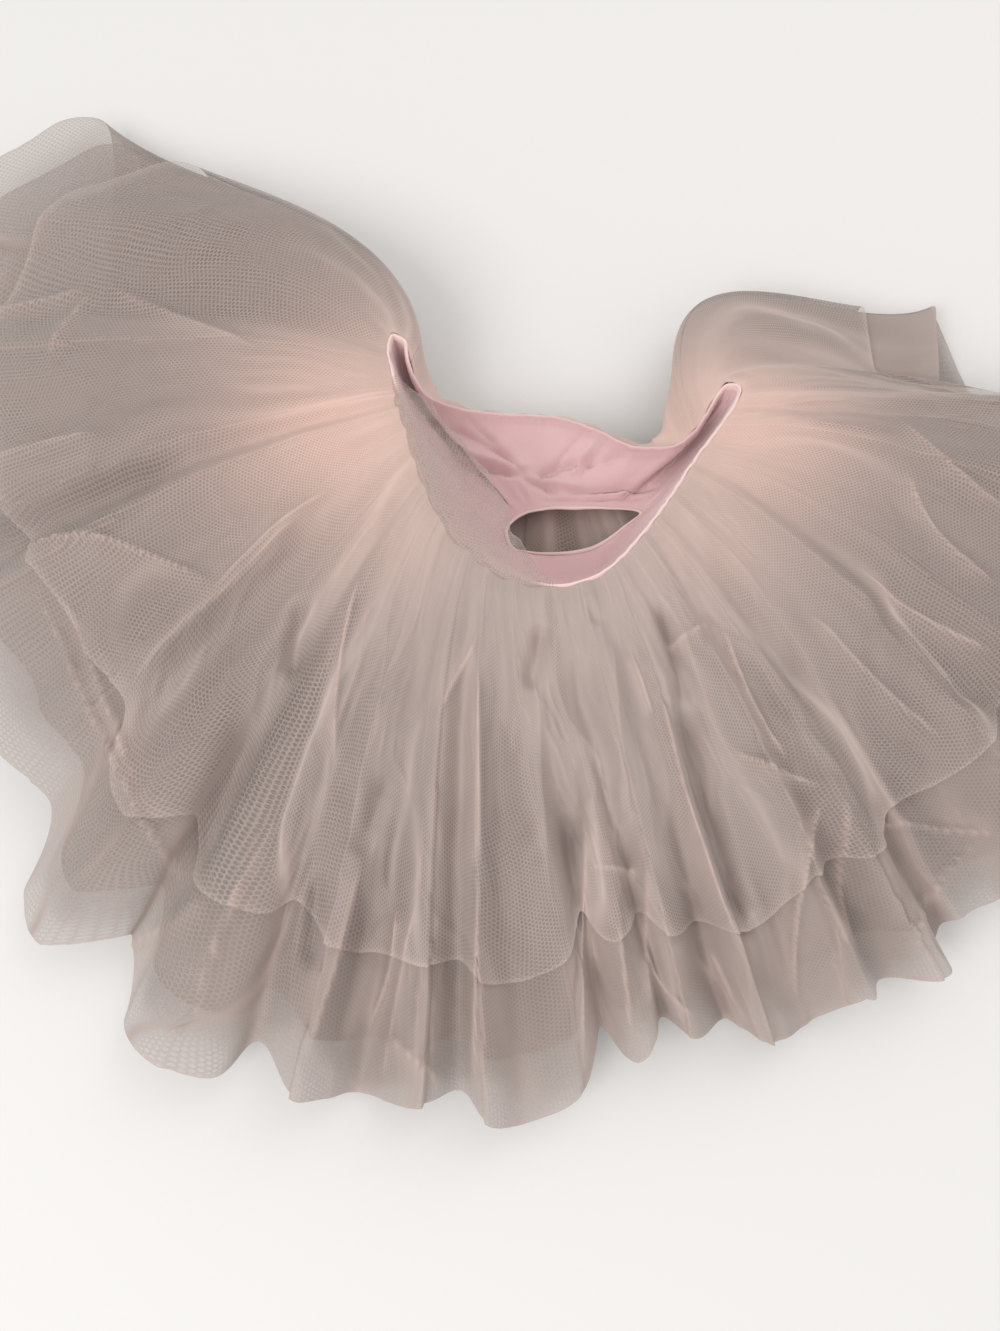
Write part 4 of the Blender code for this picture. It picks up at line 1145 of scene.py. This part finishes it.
# %% The lining
LINING_CUT = (0.50, 0.072)
lining_share = np.arange(LINING_COLUMNS) / LINING_COLUMNS
lining_points = lining_grid(lining_share, np.linspace(0, 1, LINING_ROWS))
lining_flat = spread(LINING_CUT, LINING_COLUMNS + 1, LINING_ROWS)
lining = sheet_mesh("lining", lining_points, *lining_flat, closed=True)
lining.data.materials.append(jersey_pink)
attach(lining, "root")
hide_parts("jersey_lining")
print(f"the lining's area is {surface_area(lining_points):.4f} square metres")

# %% The turned edge of the lower opening
HEM_ROLL = (0.0011, 0.0007)     # half width and half height of the rolled hem
ROLL_SIDES = 10
ROLL_LIFT = 0.0003
ROLL_CUT = (0.17, 0.006)
ROLL_PINK = (0.84, 0.66, 0.63)


def swept_band(name, middle, outward, half_wide, half_tall, sides, cut):
    """A closed band of oval section swept round a closed line of points."""
    angle = 2 * math.pi * np.arange(sides + 1) / sides
    out = outward * (half_wide * np.cos(angle))[:, None, None]
    up = points(0.0, 0.0, half_tall * np.sin(angle))[:, None, :]
    flat = spread(cut, len(middle) + 1, sides + 1)
    return sheet_mesh(name, middle[None] + out + up, *flat, closed=True)


lens_line = lining_points[-1]
lens_out = unit((lens_line - LENS_CENTRE) * np.array((1.0, 1.0, 0.0)))
roll = swept_band("lining_hem", lens_line + np.array((0, 0, ROLL_LIFT)), lens_out, *HEM_ROLL,
                  ROLL_SIDES, ROLL_CUT)
roll.data.materials.append(jersey_finish("pale jersey", ROLL_PINK))
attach(roll, "root")
print(f"the turned edge is {length_of(lens_line) * 1000:.0f} mm round")

# %% [markdown]
# ## The waist binding
#
# A soft elastic in a folded cover of jersey. The elastic pulls the cover into small
# puckers, which is why its edge glints unevenly in the light. Two lines of thread hold
# it: they show as rows of short stitches near its lower edge. Behind, the lining is
# turned up over the elastic, so the band is the lining's own pink there.

# %% The binding
BINDING_COLUMNS, BINDING_SIDES = 900, 16
BINDING_PINK = (0.88, 0.66, 0.63)
PUCKERS_ROUND = 210
PUCKER = 0.00016
PALE_UNTIL, PALE_FROM = 0.60, 0.985   # between these it is the lining's own pink
PALE_FADES = (0.05, 0.03)   # shares over which one changes to the other
binding_share = np.arange(BINDING_COLUMNS) / BINDING_COLUMNS
puckers = folds_field(binding_share, np.zeros(BINDING_COLUMNS), PUCKERS_ROUND, 1, 61) * PUCKER
binding_out = waist_outward(binding_share)
binding = swept_band("binding", waist_at(binding_share) + binding_out * puckers[:, None],
                     binding_out, BAND_THICK / 2, BAND_TALL / 2, BINDING_SIDES, (0.52, 0.018))
behind = ease((binding_share - PALE_UNTIL) / PALE_FADES[0])
behind = behind * ease((PALE_FROM - binding_share) / PALE_FADES[1])
set_values(binding, "pale", np.broadcast_to(1 - behind, (BINDING_SIDES + 1, BINDING_COLUMNS)))
binding_jersey = jersey_finish("binding jersey", BINDING_PINK)
binding_tree = binding_jersey.node_tree
binding_tree.links.new(
    blend_colours(binding_tree, number(binding_tree, "pale"), JERSEY_PINK, BINDING_PINK),
    binding_tree.nodes["Principled BSDF"].inputs["Base Color"],
)
binding.data.materials.append(binding_jersey)
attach(binding, "root")
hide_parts("waist_binding")
print(f"the binding stands {BAND_TALL * 1000:.0f} mm tall, with {PUCKERS_ROUND} puckers")

# %% Stitches
STITCHES = 208           # in each of two rows
STITCH_LONG, STITCH_THICK = 0.0017, 0.00022
STITCH_DOWN = 0.0022     # below the middle of the binding
STITCH_SUNK = 0.82       # how far out they lie, as a share of the binding's half thickness
STITCH_SIDES = 6
THREAD_PINK, THREAD_ROUGH = (0.86, 0.62, 0.60), 0.5
stitch_share = (np.arange(STITCHES) + 0.5) / STITCHES
stitch_out = waist_outward(stitch_share)
stitch_along = unit(points(-stitch_out[:, 1], stitch_out[:, 0], 0.0))
ring_at = np.array((-1.0, -0.6, 0.6, 1.0)) * STITCH_LONG / 2
ring_size = np.array((0.35, 1.0, 1.0, 0.35)) * STITCH_THICK
angle = 2 * math.pi * np.arange(STITCH_SIDES) / STITCH_SIDES
rows = []
for side in (-1, 1):
    middles = waist_at(stitch_share) + stitch_out * side * (BAND_THICK / 2 * STITCH_SUNK)
    middles = middles - points(0.0, 0.0, STITCH_DOWN)
    tube = middles[:, None, None] + stitch_along[:, None, None] * ring_at[:, None, None]
    wide = stitch_out[:, None, None] * ring_size[:, None, None] * np.cos(angle)[:, None]
    rows.append(tube + wide + points(0.0, 0.0, np.outer(ring_size, np.sin(angle))))
corners = np.concatenate(rows).reshape(-1, 3)
stitch_corners = len(ring_at) * STITCH_SIDES
last_ring = range(stitch_corners - STITCH_SIDES, stitch_corners)
one_stitch = grid_faces(len(ring_at), STITCH_SIDES, True)
one_stitch = one_stitch[:, [0, 3, 2, 1]].tolist()   # turned over, to face outward
one_stitch += [list(range(STITCH_SIDES))[::-1], list(last_ring)]
faces = [[first + corner for corner in face]
         for first in range(0, len(corners), stitch_corners) for face in one_stitch]
stitch_mesh = bpy.data.meshes.new("stitches")
stitch_mesh.from_pydata(corners.tolist(), [], faces)
stitch_mesh.shade_smooth()
stitches = add_object("stitches", stitch_mesh)
stitch_mesh.materials.append(new_finish("thread", THREAD_ROUGH, colour=THREAD_PINK)[0])
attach(stitches, "root")
print(f"{len(corners) // stitch_corners} stitches in two rows")

# %% [markdown]
# ## The floor, the light and the camera
#
# The tutu lies on a plain pale floor in soft daylight, with more light from the window
# side than from the room. The camera looks down steeply from an arm's length away, so
# the skirt runs out of the frame on both sides.

# %% Floor
FLOOR_GREY, FLOOR_ROUGH = (0.80, 0.795, 0.785), 0.8
FLOOR_HALF = 6
floor_corners = [(x * FLOOR_HALF, y * FLOOR_HALF, 0)
                 for x, y in ((-1, -1), (1, -1), (1, 1), (-1, 1))]
floor_mesh = bpy.data.meshes.new("floor")
floor_mesh.from_pydata(floor_corners, [], [(0, 1, 2, 3)])
floor = add_object("floor", floor_mesh)
floor_mesh.materials.append(new_finish("pale floor", FLOOR_ROUGH, colour=FLOOR_GREY)[0])
print(f"the floor is {2 * FLOOR_HALF} m square")

# %% Light
Lamp = namedtuple("Lamp", "name place size power colour")
LAMPS = (
    Lamp("window", (-1.2, -1.3, 1.8), 1.2, 26, (1.0, 0.98, 0.96)),
    Lamp("room", (1.2, 1.1, 1.6), 1.6, 10, (1.0, 0.96, 0.93)),
)
SKY_COLOUR, SKY_STRENGTH = (1.0, 0.985, 0.97, 1.0), 0.74
for row in LAMPS:
    lamp = bpy.data.lights.new(row.name, "AREA")
    lamp.size, lamp.energy, lamp.color = row.size, row.power, row.colour
    holder = add_object(row.name, lamp)
    holder.location = row.place
    holder.rotation_euler = (-Vector(row.place)).to_track_quat("-Z", "Y").to_euler()
world = bpy.data.worlds.new("soft daylight")
world.use_nodes = True
world.node_tree.nodes["Background"].inputs["Color"].default_value = SKY_COLOUR
world.node_tree.nodes["Background"].inputs["Strength"].default_value = SKY_STRENGTH
bpy.context.scene.world = world
print("lamps:", ", ".join(row.name for row in LAMPS))

# %% Camera
CAMERA_TARGET = Vector((-0.030, -0.066, 0.025))
CAMERA_DOWN = math.radians(72)   # how steeply it looks down
CAMERA_AWAY = 0.600
CAMERA_FILM, CAMERA_LENS = 36, 32   # in millimetres
camera_data = bpy.data.cameras.new("camera")
camera_data.sensor_fit = "VERTICAL"
camera_data.sensor_height = CAMERA_FILM
camera_data.lens = CAMERA_LENS
camera_data.clip_start = 0.01
camera = add_object("camera", camera_data)
back = Vector((0, -math.cos(CAMERA_DOWN), math.sin(CAMERA_DOWN)))
camera.location = CAMERA_TARGET + back * CAMERA_AWAY
camera.rotation_euler = back.to_track_quat("Z", "Y").to_euler()
bpy.context.scene.camera = camera
print(f"the camera stands {camera.location.z:.2f} m above the floor")

# %% Through many thicknesses of net
# Light goes through a hole in net freely, and comes off threads only a time or two.
light_paths = bpy.context.scene.cycles
light_paths.transparent_max_bounces = 40
light_paths.diffuse_bounces = 2
light_paths.max_bounces = 4
print(f"light passes through up to {light_paths.transparent_max_bounces} thicknesses")
bpy.context.scene.view_settings.view_transform = "Standard"
